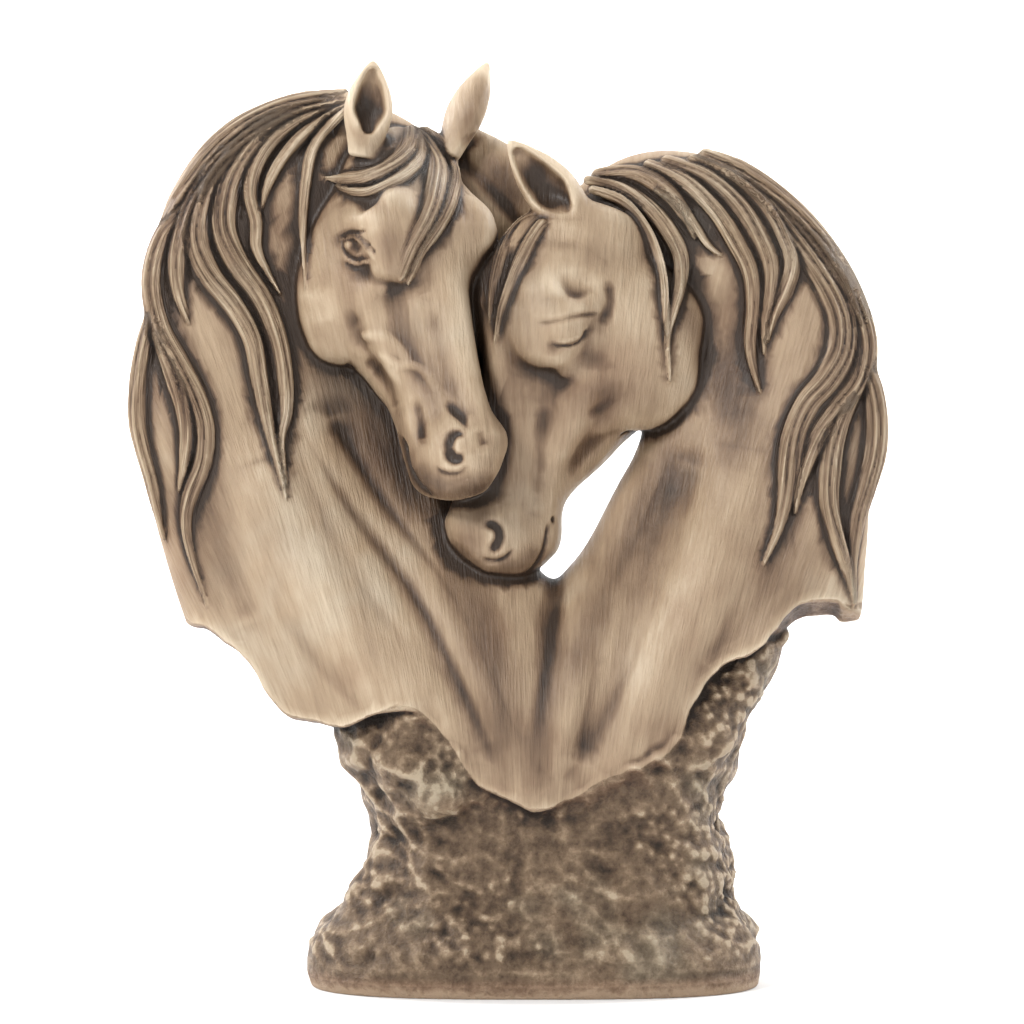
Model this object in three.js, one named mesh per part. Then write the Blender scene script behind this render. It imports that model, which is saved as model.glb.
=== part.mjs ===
import * as THREE from 'three';

// Overall size in millimetres. X is the width, Y the depth with the front at -Y, Z the height.
const WIDTH = 292.1;
const DEPTH = 101.6;
const HEIGHT = 355.6;

// Stand
const STAND_LIP_HEIGHT = 13;
const STAND_TOP = 128;
const STAND_SQUARENESS = 3;
const UNDERSIDE_RISE = 0;

// Necks
const NECK_EDGE = 41;
const NECK_BLEND = 6;
const BREAK_BEVEL_LEFT = 3;
const BREAK_BEVEL_RIGHT = 8;

// Heads
const HEAD_LENGTH = 155;
const HEAD_ROUNDNESS = 2.5;
const HEAD_BACK = 42;

// Hair
const LOCK_THICKNESS = 2.8;
const LOCK_LIFT = 0.6;
const FORELOCK_THICKNESS = 2;
const FORELOCK_LIFT = 0.5;

// Spacing of the modelling grid and the number of faces kept
const GRID = 2.4;
const FACES = 9400;
const SOFTEN_ROUNDS = 3;

// The front view in which outlines and guide lines are placed: a square picture seen from afar.
// Places are [across, down] in its pixels, and become X and Z at a given depth.
const VIEW_DISTANCE = 1150;
const PIXELS_PER_MM = 2.5745;
const PICTURE_MIDDLE = 512;
const VIEW_X = 1.5;
const VIEW_Z = 182;

// Sections of the stand: height, left and right side, half depth
const STAND_SECTIONS = [
  [0, 313, 755, 48.5], [5, 309, 757, 50.3], [10, 309, 757, 50], [18, 316, 747, 47.5],
  [28, 338, 735, 43], [37, 358, 731, 40], [47, 371, 726, 38], [57, 375, 721, 36.5],
  [66, 370, 717, 37], [76, 360, 713, 39], [86, 350, 715, 41], [95, 341, 722, 41],
  [105, 345, 726, 38], [118, 380, 726, 33], [132, 440, 716, 26],
];
// Shoulders of rock that rise under the necks: places, Y and radii along each
const SHOULDERS = [
  [
    [[690, 752], 2, 15],
    [[706, 718], 2, 13],
    [[726, 688], 3, 11],
    [[748, 660], 5, 9],
    [[772, 632], 7, 6],
  ],
  [
    [[374, 752], -14, 7],
    [[405, 756], -20, 9],
    [[445, 785], -26, 9],
  ],
];
const STAND_RELIEF_START = 9;
const SHOULDER_DEPTH = 1.8;
const STAND_STEP_BACK = 5;
const SHOULDER_BLEND = 7;
const STAND_RELIEF_COARSE = { size: 34, height: 5 };
const STAND_RELIEF_FINE = { size: 14, height: 2 };

// Outlines in the front view
const LEFT_NECK = [
  [440, 135], [400, 106], [345, 86], [290, 92], [242, 114], [215, 142], [195, 174], [166, 214],
  [151, 264], [144, 320], [138, 375], [140, 440], [152, 500], [168, 560], [188, 622], [215, 690],
  [300, 790], [420, 860], [600, 860], [612, 760], [600, 690], [575, 625], [553, 584], [530, 560],
  [500, 520], [490, 450], [500, 380], [516, 300], [524, 250], [520, 206], [490, 166],
];
const RIGHT_NECK = [
  [545, 196], [575, 180], [620, 151], [665, 142], [715, 151], [765, 184], [805, 226], [835, 271],
  [856, 326], [867, 372], [873, 420], [871, 465], [867, 505], [863, 560], [852, 640], [800, 760],
  [640, 850], [480, 850], [445, 790], [462, 720], [505, 645], [553, 584], [585, 546], [612, 500],
  [638, 446], [640, 400], [600, 300], [560, 240],
];
const LEFT_FACE = [
  [365, 128], [400, 104], [435, 106], [455, 130], [466, 158], [477, 182], [487, 195], [497, 206],
  [503, 222], [503, 236], [497, 246], [486, 256], [480, 275], [480, 300], [483, 330], [487, 355],
  [492, 380], [498, 400], [505, 418], [510, 432], [508, 446], [503, 459], [499, 470], [493, 480],
  [485, 490], [470, 496], [455, 499], [440, 498], [425, 494], [413, 485], [405, 470], [399, 455],
  [395, 440], [391, 424], [384, 408], [372, 394], [360, 382], [349, 374], [338, 367], [320, 361],
  [306, 350], [295, 333], [287, 310], [283, 285], [284, 262], [290, 238], [298, 222], [308, 195],
  [325, 170], [340, 145],
];
const RIGHT_FACE = [
  [530, 190], [565, 192], [600, 198], [640, 215], [672, 245], [690, 270], [704, 292], [710, 312],
  [707, 328], [702, 350], [703, 370], [702, 388], [693, 403], [680, 415], [665, 425], [650, 431],
  [637, 437], [620, 452], [605, 466], [590, 476], [577, 486], [566, 500], [562, 515], [562, 535],
  [558, 549], [550, 558], [540, 567], [522, 577], [500, 578], [482, 576], [473, 569], [461, 560],
  [453, 551], [447, 540], [443, 520], [447, 505], [447, 470], [450, 430], [455, 380], [460, 330],
  [466, 280], [480, 240], [500, 210],
];
const BREAK_LINE = [
  [120, 600], [165, 612], [190, 622], [205, 625], [225, 640], [245, 656], [262, 682], [280, 708],
  [300, 718], [340, 724], [365, 716], [395, 703], [420, 706], [440, 725], [455, 745], [478, 780],
  [510, 797], [540, 808], [575, 792], [600, 775], [640, 762], [665, 748], [680, 728], [690, 700],
  [720, 668], [755, 650], [772, 630], [797, 604], [835, 598], [850, 604], [910, 596],
];

// Places of the front view with the Y of the front and the back of the neck there
const LEFT_NECK_DEPTHS = [
  [395, 235, 3, 46], [350, 290, 6, 44], [430, 330, 6, 44], [400, 120, 8, 36], [300, 130, 0, 30],
  [220, 200, -8, 22], [180, 300, -12, 16], [270, 250, 0, 30], [340, 370, 10, 42],
  [400, 430, 8, 40], [250, 380, -8, 30], [170, 450, -14, 14], [300, 480, -14, 32],
  [430, 520, 0, 36], [220, 560, -18, 18], [350, 600, -28, 34], [480, 600, -22, 36],
  [260, 650, -26, 24], [420, 680, -37, 38], [510, 700, -40, 41], [510, 800, -42, 42],
];
const RIGHT_NECK_DEPTHS = [
  [580, 190, 6, 34], [650, 190, -2, 32], [640, 300, 10, 42], [740, 220, -8, 28], [690, 330, 2, 34],
  [820, 300, -14, 18], [660, 430, 4, 38], [720, 450, -10, 32], [860, 430, -14, 14],
  [610, 520, -8, 34], [780, 520, -20, 26], [700, 600, -30, 34], [560, 610, -26, 36],
  [545, 680, -36, 40], [840, 570, -20, 16], [620, 700, -38, 38], [540, 740, -41, 41],
  [730, 680, -30, 30],
];
const DEPTH_REACH = 20;

// Head sections: place along the head, upper and lower edge, half width at the top, middle and
// bottom, all as shares of the head's length
const HEAD_SECTIONS = [
  [-0.1, 0, -0.1, 0.05, 0.06, 0.05], [0, 0.085, -0.16, 0.095, 0.1, 0.07],
  [0.08, 0.125, -0.22, 0.12, 0.122, 0.085], [0.16, 0.15, -0.27, 0.135, 0.14, 0.1],
  [0.24, 0.162, -0.312, 0.142, 0.15, 0.108], [0.32, 0.16, -0.33, 0.14, 0.155, 0.108],
  [0.4, 0.145, -0.318, 0.125, 0.15, 0.1], [0.48, 0.128, -0.285, 0.108, 0.138, 0.092],
  [0.56, 0.116, -0.242, 0.095, 0.12, 0.082], [0.64, 0.106, -0.208, 0.085, 0.104, 0.074],
  [0.72, 0.101, -0.192, 0.078, 0.096, 0.068], [0.8, 0.104, -0.192, 0.078, 0.098, 0.07],
  [0.87, 0.112, -0.196, 0.082, 0.104, 0.072], [0.92, 0.1, -0.178, 0.08, 0.098, 0.066],
  [0.97, 0.06, -0.13, 0.062, 0.076, 0.052], [1.02, -0.01, -0.05, 0.03, 0.04, 0.03],
];

// Where each head sits: poll, then the axes along the nose, up through the forehead and to the side
const LEFT_HEAD = [
  [-51.2, 15, 327.5],
  [39.3, -46, -141.6],
  [95.3, -100, 75.3],
  [-139.4, -82, -4.2],
];
const RIGHT_HEAD = [
  [32.2, 2, 301.3],
  [-43.9, -8, -145.3],
  [-146, -90, 51.7],
  [115.6, -105, -28.4],
];

// Ears: base and tip in the front view, Y of each, direction of the opening, half width
const EARS = [
  [[366, 134], [374, 55], -5, -8, [0.25, -0.9, 0.1], 9.5],
  [[455, 134], [488, 57], 12, 16, [0.9, 0.5, 0.0], 10.5],
  [[575, 216], [507, 136], -6, -12, [-0.45, -0.85, 0.25], 10.3],
  [[540, 215], [452, 118], 22, 20, [-0.2, 0.9, 0.3], 12.0],
];
const EAR_SPAN = [-0.25, 0, 0.2, 0.38, 0.6, 0.8, 0.92, 1];
const EAR_WIDE = [0.62, 0.78, 0.95, 1, 0.84, 0.52, 0.27, 0.05];

// Guide lines of the locks of hair in the front view, each with its half width in millimetres
const MANE_LOCKS = [
  [[[156, 306], [146, 345], [141, 380], [141, 420], [147, 450], [156, 484], [162, 515],
    [168, 540]], 3.9],
  [[[346, 92], [300, 98], [256, 116], [218, 144], [190, 180], [170, 216], [156, 250]], 6.6],
  [[[350, 96], [304, 104], [262, 124], [228, 152], [204, 184], [188, 220], [180, 258],
    [182, 292], [192, 322]], 5.8],
  [[[158, 316], [168, 345], [178, 372], [188, 402], [192, 432], [189, 462], [184, 490]], 4.3],
  [[[196, 196], [172, 220], [158, 250], [154, 285], [163, 325], [182, 362], [199, 395],
    [209, 428], [207, 462], [195, 495], [191, 525], [198, 560], [213, 604]], 4.7],
  [[[320, 98], [276, 112], [240, 138], [216, 170], [203, 205], [200, 240], [212, 272],
    [236, 304], [254, 338], [262, 380], [270, 420], [280, 458], [291, 498]], 5],
  [[[340, 96], [296, 108], [262, 132], [240, 162], [228, 195], [226, 228], [240, 262],
    [264, 298], [279, 336], [286, 376], [288, 410], [284, 440], [290, 485]], 5],
  [[[346, 98], [306, 112], [276, 134], [258, 162], [252, 190], [258, 220], [258, 245],
    [268, 268], [282, 292]], 3.1],
  [[[350, 102], [324, 114], [300, 134], [280, 160], [268, 186], [262, 212]], 2.7],
  [[[858, 356], [869, 388], [873, 422], [870, 455], [861, 488], [851, 522], [847, 560],
    [850, 602]], 5],
  [[[852, 385], [838, 410], [828, 440], [823, 475], [823, 505], [831, 540], [843, 575],
    [849, 604]], 4.7],
  [[[700, 150], [742, 170], [780, 200], [812, 236], [838, 274], [856, 315], [866, 352],
    [872, 385]], 6.6],
  [[[770, 196], [806, 228], [836, 268], [854, 308], [862, 345], [852, 380], [832, 406],
    [814, 432], [802, 460], [794, 485], [789, 512]], 5],
  [[[724, 166], [764, 198], [796, 236], [822, 276], [838, 314], [838, 350], [824, 380],
    [804, 404], [790, 434], [784, 465], [780, 495], [772, 528], [757, 562]], 6.6],
  [[[690, 154], [730, 172], [762, 202], [780, 236], [788, 262], [782, 288], [772, 312],
    [764, 340]], 4.3],
  [[[664, 154], [704, 172], [736, 202], [757, 236], [768, 264], [768, 292], [762, 320],
    [761, 352]], 4.3],
  [[[646, 158], [684, 178], [714, 208], [734, 240], [748, 270], [751, 305], [748, 340],
    [751, 368], [757, 392]], 3.9],
  [[[655, 186], [678, 202], [694, 224], [706, 242], [720, 254]], 1.9],
  [[[594, 168], [634, 168], [664, 186], [684, 212], [693, 236]], 3.9],
  [[[586, 174], [618, 182], [646, 202], [668, 228], [680, 254], [677, 285], [669, 312],
    [664, 338], [668, 380]], 3.5],
  [[[590, 184], [622, 198], [644, 226], [656, 256], [661, 286], [662, 316], [665, 350]], 2.3],
];
const FORELOCKS = [
  [[[408, 112], [426, 130], [438, 158], [436, 190], [428, 218], [414, 246], [402, 278]], 5],
  [[[420, 112], [442, 134], [453, 164], [450, 196], [438, 224], [422, 250], [408, 284]], 3.1],
  [[[410, 114], [408, 140], [390, 160], [364, 170], [340, 170], [322, 168]], 4.3],
  [[[418, 120], [418, 150], [398, 174], [372, 186], [350, 184], [332, 176]], 2.7],
  [[[536, 208], [518, 218], [504, 242], [495, 276], [489, 316]], 3.9],
  [[[542, 216], [528, 240], [514, 272], [502, 306], [494, 340]], 3.1],
  [[[345, 100], [324, 116], [309, 140], [303, 172], [300, 208], [301, 240], [304, 284]], 2.3],
];
// How wide and how tall a lock is from its root to its tip, as shares of its full size
const LOCK_SPAN = [0, 0.12, 0.4, 0.75, 1];
const LOCK_WIDE = [0.6, 0.85, 1, 0.7, 0.08];
const LOCK_TALL = [0.6, 0.9, 1, 0.85, 0.3];

// Muscles and hollows of the necks: guide line, half width and height in millimetres
const NECK_SWELLS = [
  [[[320, 400], [350, 480], [420, 600], [505, 770]], 12, -2.6],
  [[[250, 440], [285, 540], [350, 640], [455, 740]], 17, 3.0],
  [[[300, 400], [360, 500], [440, 610], [520, 780]], 7, 2.0],
  [[[190, 420], [215, 540], [250, 640]], 12, -1.6],
  [[[655, 440], [610, 540], [575, 640], [552, 780]], 10, 2.6],
  [[[700, 440], [655, 560], [608, 690], [575, 780]], 11, -2.6],
  [[[745, 420], [715, 550], [655, 700], [600, 790]], 15, 3.0],
  [[[800, 480], [770, 580], [700, 690]], 12, -1.8],
];

// Brows, cheeks and the hollows between the bones of the faces
const FACE_SWELLS = [
  [[[334, 218], [348, 211], [364, 212], [380, 222]], 8, 1.2],
  [[[354, 243]], 9, 0.9],
  [[[330, 262], [322, 290], [325, 325]], 16, 0.8],
  [[[380, 304], [360, 310], [346, 326], [345, 348]], 9, -0.35],
  [[[425, 290], [440, 350], [455, 392], [468, 424]], 7, -1.1],
  [[[416, 400], [420, 420], [424, 442]], 4, -0.9],
  [[[350, 322], [372, 332], [396, 350], [410, 368]], 6, 0.35],
  [[[300, 338], [320, 352], [342, 352], [358, 344]], 8, 0.4],
  [[[366, 362], [386, 382], [398, 408]], 7, -0.7],
  [[[340, 356], [350, 368]], 4, -0.6],
  [[[479, 428], [485, 446]], 4, -0.5],
  [[[566, 330]], 15, 1.6],
  [[[536, 304], [556, 312], [580, 305], [600, 297]], 6, 0.8],
  [[[545, 272], [566, 280], [590, 268]], 15, 0.3],
  [[[608, 278], [611, 296], [604, 318]], 4, -0.7],
  [[[550, 360], [572, 362], [592, 348], [602, 328]], 5, 0.4],
  [[[556, 402], [580, 394], [604, 386], [626, 368]], 7, 0.7],
  [[[650, 350]], 24, 0.9],
  [[[543, 405], [541, 460], [538, 500]], 6, -0.5],
  [[[525, 400], [521, 460], [516, 512]], 8, 0.7],
  [[[642, 424], [612, 436], [590, 456], [568, 482]], 6, -0.5],
  [[[606, 376], [600, 392], [586, 403], [566, 406]], 7, -0.3],
  [[[692, 404], [676, 418], [660, 426]], 4, -0.5],
];

// Eyes, nostrils and mouths: guide line, half width, height and blend in millimetres
const FACE_FORMS = [
  [[[350, 240], [359, 247]], 3.2, 1.3, 0.6],
  [[[449, 447], [451, 455], [456, 458], [461, 454]], 2.8, -3.8, 1.2],
  [[[465, 432], [458, 431], [452, 435], [449, 442], [449, 450]], 2.2, -4.4, 0.9],
  [[[459, 437], [460, 446]], 1.6, 0.9, 0.9],
  [[[398, 432]], 1.3, -1.6, 0.8],
  [[[506, 437]], 1.2, -1.0, 1.0],
  [[[346, 360], [352, 370]], 1.4, -0.6, 1.5],
  [[[486, 550], [495, 547], [500, 537], [498, 527], [491, 522], [485, 524]], 2.5, -4.6, 0.8],
  [[[486, 530], [487, 538]], 1.6, 0.9, 0.9],
  [[[554, 518]], 1.3, -1.6, 0.8],
];

const clamp = (v, a, b) => Math.min(Math.max(v, a), b);

const mix = (a, b, t) => a + (b - a) * t;

function smoothMin(a, b, k) {
  const h = clamp(0.5 + (0.5 * (b - a)) / k, 0, 1);
  return b * (1 - h) + a * h - k * h * (1 - h);
}

const smoothMax = (a, b, k) => -smoothMin(-a, -b, k);

function ramp(v, a, b) {
  const t = clamp((v - a) / (b - a), 0, 1);
  return t * t * (3 - 2 * t);
}

// Value of a table of [key, value, ...] rows at a key, by column
function lookup(rows, key, column) {
  if (key <= rows[0][0]) return rows[0][column];
  for (let i = 1; i < rows.length; i += 1) {
    if (key <= rows[i][0]) {
      const t = (key - rows[i - 1][0]) / (rows[i][0] - rows[i - 1][0]);
      return mix(rows[i - 1][column], rows[i][column], t);
    }
  }
  return rows[rows.length - 1][column];
}

const pairs = (keys, values) => keys.map((k, i) => [k, values[i]]);

// X and Z of a place of the front view, at depth y
function fromPicture([across, down], y = 0) {
  const scale = (PIXELS_PER_MM * VIEW_DISTANCE) / (VIEW_DISTANCE + y);
  return [VIEW_X + (across - PICTURE_MIDDLE) / scale, VIEW_Z - (down - PICTURE_MIDDLE) / scale];
}

const onPlane = (line, y) => line.map((place) => fromPicture(place, y));

// A repeatable scattered value between 0 and 1 for a cell of space
function scatter(i, j, k, n) {
  const v = Math.sin(i * 127.1 + j * 311.7 + k * 74.7 + n * 53.3) * 43758.5453;
  return v - Math.floor(v);
}

// Distance to the nearest of scattered points, in cells
function nearestSeed(x, y, z, size) {
  const [px, py, pz] = [x / size, y / size, z / size];
  let best = 9;
  for (let i = Math.floor(px) - 1; i <= Math.floor(px) + 1; i += 1) {
    for (let j = Math.floor(py) - 1; j <= Math.floor(py) + 1; j += 1) {
      for (let k = Math.floor(pz) - 1; k <= Math.floor(pz) + 1; k += 1) {
        const dx = i + scatter(i, j, k, 0) - px;
        const dy = j + scatter(i, j, k, 1) - py;
        best = Math.min(best, dx * dx + dy * dy + (k + scatter(i, j, k, 2) - pz) ** 2);
      }
    }
  }
  return Math.sqrt(best);
}

// A smooth line through points of the front plane
function curve(points, per, closed = false) {
  const n = points.length;
  const at = (i) => (closed ? points[(i + n) % n] : points[clamp(i, 0, n - 1)]);
  const out = [];
  for (let i = 0; i < (closed ? n : n - 1); i += 1) {
    const [a, b, c, d] = [at(i - 1), at(i), at(i + 1), at(i + 2)];
    for (let s = 0; s < per; s += 1) {
      const t = s / per;
      out.push(b.map((_, m) => 0.5 * (2 * b[m] + (c[m] - a[m]) * t
        + (2 * a[m] - 5 * b[m] + 4 * c[m] - d[m]) * t * t
        + (3 * b[m] - a[m] - 3 * c[m] + d[m]) * t * t * t)));
    }
  }
  if (!closed) out.push(points[n - 1].slice());
  return out;
}

// Distance to a closed line of the front plane, negative inside
function outlineDistance(line, x, z) {
  let best = Infinity;
  let inside = false;
  for (let i = 0; i < line.length; i += 1) {
    const [x0, z0] = line[i];
    const [x1, z1] = line[(i + 1) % line.length];
    const ex = x1 - x0;
    const ez = z1 - z0;
    const t = clamp(((x - x0) * ex + (z - z0) * ez) / Math.max(ex * ex + ez * ez, 1e-9), 0, 1);
    best = Math.min(best, (x - x0 - t * ex) ** 2 + (z - z0 - t * ez) ** 2);
    if ((z0 <= z) !== (z1 <= z) && x < x0 + ((z - z0) / ez) * ex) inside = !inside;
  }
  return inside ? -Math.sqrt(best) : Math.sqrt(best);
}

// The sculpture while it is being modelled: distances to its surface on a regular grid
class Clay {
  constructor(step, low, high) {
    this.step = step;
    this.low = low;
    this.count = high.map((v, i) => Math.ceil((v - low[i]) / step) + 1);
    this.value = new Float32Array(this.count[0] * this.count[1] * this.count[2]).fill(60);
  }

  index(i, j, k) {
    return (i * this.count[1] + j) * this.count[2] + k;
  }

  window(low, high) {
    return [0, 1, 2].map((a) => [
      Math.max(0, Math.floor((low[a] - this.low[a]) / this.step)),
      Math.min(this.count[a] - 1, Math.ceil((high[a] - this.low[a]) / this.step)),
    ]);
  }

  each(low, high, visit) {
    const [wi, wj, wk] = this.window(low, high);
    for (let i = wi[0]; i <= wi[1]; i += 1) {
      const x = this.low[0] + i * this.step;
      for (let k = wk[0]; k <= wk[1]; k += 1) {
        const z = this.low[2] + k * this.step;
        for (let j = wj[0]; j <= wj[1]; j += 1) {
          visit(x, this.low[1] + j * this.step, z, this.index(i, j, k), i, j, k);
        }
      }
    }
  }

  add(low, high, blend, distance) {
    this.each(low, high, (x, y, z, n, i, j, k) => {
      this.value[n] = smoothMin(this.value[n], distance(x, y, z, i, j, k), blend);
    });
  }

  cut(low, high, blend, distance) {
    this.each(low, high, (x, y, z, n, i, j, k) => {
      this.value[n] = smoothMax(this.value[n], -distance(x, y, z, i, j, k), blend);
    });
  }

  // Evens each value out with its neighbours, so that nothing is left thinner than the grid can hold
  even() {
    const [nx, ny, nz] = this.count;
    [ny * nz, nz, 1].forEach((stride, axis) => {
      const old = this.value.slice();
      this.value.forEach((v, n) => {
        const at = Math.floor(n / stride) % [nx, ny, nz][axis];
        const last = [nx, ny, nz][axis] - 1;
        if (at > 0 && at < last) this.value[n] = (old[n - stride] + 2 * v + old[n + stride]) / 4;
      });
    });
  }

  // Distances to an outline of the front plane, one for each place of the grid
  outlineGrid(line) {
    const [nx, , nz] = this.count;
    const grid = new Float32Array(nx * nz);
    for (let i = 0; i < nx; i += 1) {
      for (let k = 0; k < nz; k += 1) {
        const x = this.low[0] + i * this.step;
        grid[i * nz + k] = outlineDistance(line, x, this.low[2] + k * this.step);
      }
    }
    return grid;
  }
}

const LOW = [-154, -58, -6];
const HIGH = [154, 58, 364];

// Bounds of points of the front plane, widened on each side
function planeBounds(line, margin) {
  const xs = line.map((p) => p[0]);
  const zs = line.map((p) => p[1]);
  return [
    [Math.min(...xs) - margin, LOW[1], Math.min(...zs) - margin],
    [Math.max(...xs) + margin, HIGH[1], Math.max(...zs) + margin],
  ];
}

// Smooth front and back of a neck, each sample weighted by nearness
function neckDepths(samples) {
  const placed = samples.map(([across, down, f, b]) => [...fromPicture([across, down]), f, b]);
  return (x, z) => {
    let total = 1e-9;
    let front = 0;
    let back = 0;
    for (const [px, pz, f, b] of placed) {
      const w = Math.exp(-((x - px) ** 2 + (z - pz) ** 2) / (2 * DEPTH_REACH ** 2)) + 1e-9;
      total += w;
      front += w * f;
      back += w * b;
    }
    return [front / total, back / total];
  };
}

function addNeck(clay, points, samples) {
  const line = curve(onPlane(points, 0), 6, true);
  const depths = neckDepths(samples);
  const grid = clay.outlineGrid(line);
  const nz = clay.count[2];
  const cache = new Map();
  const [low, high] = planeBounds(line, 14);
  clay.add(low, high, NECK_BLEND, (x, y, z, i, j, k) => {
    const n = i * nz + k;
    if (!cache.has(n)) cache.set(n, depths(x, z));
    const [front, back] = cache.get(n);
    const half = (back - front) / 2;
    const q1 = Math.max(0, (grid[n] + NECK_EDGE) / NECK_EDGE);
    const q2 = (y - (front + back) / 2) / half;
    const r = Math.max(1e-3, Math.hypot(q1, q2));
    const slope = Math.hypot(q1 / r / NECK_EDGE, Math.abs(q2) / r / half);
    return clamp((r - 1) / Math.max(slope, 1 / 60), -40, 40);
  });
}

// The necks end in a broken edge that slopes back under them
function breakNecks(clay) {
  const line = curve(onPlane(BREAK_LINE, -20), 4).concat([[170, -60], [-170, -60]]);
  const grid = clay.outlineGrid(line);
  const nz = clay.count[2];
  clay.cut(LOW, HIGH, 2, (x, y, z, i, j, k) => {
    const side = mix(BREAK_BEVEL_LEFT, BREAK_BEVEL_RIGHT, ramp(x, -60, 80));
    const bevel = (side * ramp(20 - Math.abs(y), 0, 25)) / clay.step;
    const at = clamp(k + bevel, 0, nz - 1);
    const k0 = Math.floor(at);
    const k1 = Math.min(k0 + 1, nz - 1);
    return mix(grid[i * nz + k0], grid[i * nz + k1], at - k0);
  });
  return grid;
}

// Distance to a chain of rods that taper from one place to the next, flattened to be deeper than wide
function shoulderDistance(chain, x, y, z) {
  let best = Infinity;
  for (let i = 0; i < chain.length - 1; i += 1) {
    const [ax, ay, az, ar] = chain[i];
    const [bx, by, bz, br] = chain[i + 1];
    const e = [bx - ax, by - ay, bz - az];
    const q = [x - ax, y - ay, z - az];
    const along = q[0] * e[0] + q[1] * e[1] + q[2] * e[2];
    const t = clamp(along / (e[0] ** 2 + e[1] ** 2 + e[2] ** 2), 0, 1);
    const off = Math.hypot(q[0] - t * e[0], (q[1] - t * e[1]) / SHOULDER_DEPTH, q[2] - t * e[2]);
    best = Math.min(best, off - mix(ar, br, t));
  }
  return best;
}

// The rough stand, with shoulders of rock that rise under the necks. It steps back behind the necks
// above their broken edge, where the grid's distances are above 0.
function addStand(clay, aboveBreak) {
  const shoulders = SHOULDERS.map((chain) => chain.map(([place, y, radius]) => {
    const [x, z] = fromPicture(place);
    return [x, y, z, radius];
  }));
  const nz = clay.count[2];
  clay.add([-92, LOW[1], LOW[2]], [122, HIGH[1], STAND_TOP + 22], 1, (x, y, z, i, j, k) => {
    const left = fromPicture([lookup(STAND_SECTIONS, z, 1), 0])[0];
    const right = fromPicture([lookup(STAND_SECTIONS, z, 2), 0])[0];
    const deep = lookup(STAND_SECTIONS, z, 3);
    const wide = (right - left) / 2;
    const n = STAND_SQUARENESS;
    const u = Math.abs((x - (left + right) / 2) / wide) ** n;
    const r = (u + Math.abs(y / deep) ** n) ** (1 / n);
    const plinth = smoothMax((r - 1) * Math.min(wide, deep), z - STAND_TOP, 6);
    const body = shoulders.reduce(
      (d, chain) => smoothMin(d, shoulderDistance(chain, x, y, z), SHOULDER_BLEND),
      plinth,
    );
    const coarse = STAND_RELIEF_COARSE.height * (0.6 - nearestSeed(x, y, z, STAND_RELIEF_COARSE.size));
    const fine = STAND_RELIEF_FINE.height * (0.55 - nearestSeed(x + 40, y, z, STAND_RELIEF_FINE.size));
    const relief = ramp(z, STAND_LIP_HEIGHT, STAND_LIP_HEIGHT + STAND_RELIEF_START) * (coarse + fine);
    return body - relief + STAND_STEP_BACK * ramp(aboveBreak[i * nz + k], 0, 7);
  });
}

// Distance to an ellipsoid in the coordinates of a head
function egg(p, c, r) {
  const q = [0, 1, 2].map((i) => (p[i] - c[i]) / r[i]);
  const k0 = Math.hypot(q[0], q[1], q[2]);
  const k1 = Math.hypot(q[0] / r[0], q[1] / r[1], q[2] / r[2]);
  return ((k0 * (k0 - 1)) / Math.max(k1, 1e-6)) * HEAD_LENGTH;
}

// Distance to a tapering rod in the coordinates of a head
function rod(p, a, b, ra, rb) {
  const e = b.map((v, i) => v - a[i]);
  const q = p.map((v, i) => v - a[i]);
  const t = clamp((q[0] * e[0] + q[1] * e[1] + q[2] * e[2]) / (e[0] ** 2 + e[1] ** 2 + e[2] ** 2), 0, 1);
  return (Math.hypot(q[0] - t * e[0], q[1] - t * e[1], q[2] - t * e[2]) - mix(ra, rb, t)) * HEAD_LENGTH;
}

// Unit function of a head's section: below 0 inside
function headSection(l, f, w) {
  const [top, bottom, wt, wm, wb] = [1, 2, 3, 4, 5].map((c) => lookup(HEAD_SECTIONS, l, c));
  const t = (f - (top + bottom) / 2) / ((top - bottom) / 2);
  const tc = clamp(t, -1.15, 1.15);
  const across = wm + ((wt - wb) / 1.4) * tc + (((wt + wb) / 2 - wm) / 0.49) * tc * tc;
  const n = HEAD_ROUNDNESS;
  return (Math.abs(w / Math.max(across, 0.25 * wm)) ** n + Math.abs(t) ** n) ** (1 / n) - 1;
}

// The rounded masses of a head, in its own coordinates
function headForms(start, l, f, side) {
  const w = Math.abs(side);
  const p = [l, f, w];
  let d = smoothMax(start, (Math.abs(l - 0.475) - 0.545) * HEAD_LENGTH, 8);
  d = smoothMin(d, egg(p, [0.3, -0.185, 0.105], [0.21, 0.25, 0.098]), 7);
  d = smoothMin(d, egg(p, [0.3, 0.095, 0.098], [0.125, 0.06, 0.068]), 10);
  d = smoothMin(d, rod(p, [0.27, 0.13, 0.12], [0.4, 0.095, 0.128], 0.026, 0.018), 9);
  d = smoothMax(d, -egg(p, [0.2, 0.105, 0.165], [0.05, 0.035, 0.03]), 8);
  d = smoothMin(d, rod(p, [0.44, 0.0, 0.128], [0.62, -0.015, 0.088], 0.022, 0.014), 9);
  d = smoothMax(d, -egg(p, [0.62, 0.05, 0.132], [0.13, 0.03, 0.03]), 8);
  d = smoothMax(d, -egg(p, [0.66, -0.1, 0.125], [0.09, 0.035, 0.035]), 8);
  d = smoothMin(d, egg(p, [0.885, 0.035, 0.052], [0.08, 0.062, 0.05]), 7);
  d = smoothMin(d, egg(p, [0.945, -0.02, 0.0], [0.06, 0.075, 0.08]), 6);
  d = smoothMin(d, egg(p, [0.89, -0.125, 0.0], [0.07, 0.055, 0.062]), 6);
  d = smoothMax(d, -rod(p, [0.2, -0.36, 0], [0.7, -0.26, 0], 0.03, 0.02), 5);
  return d;
}

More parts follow.
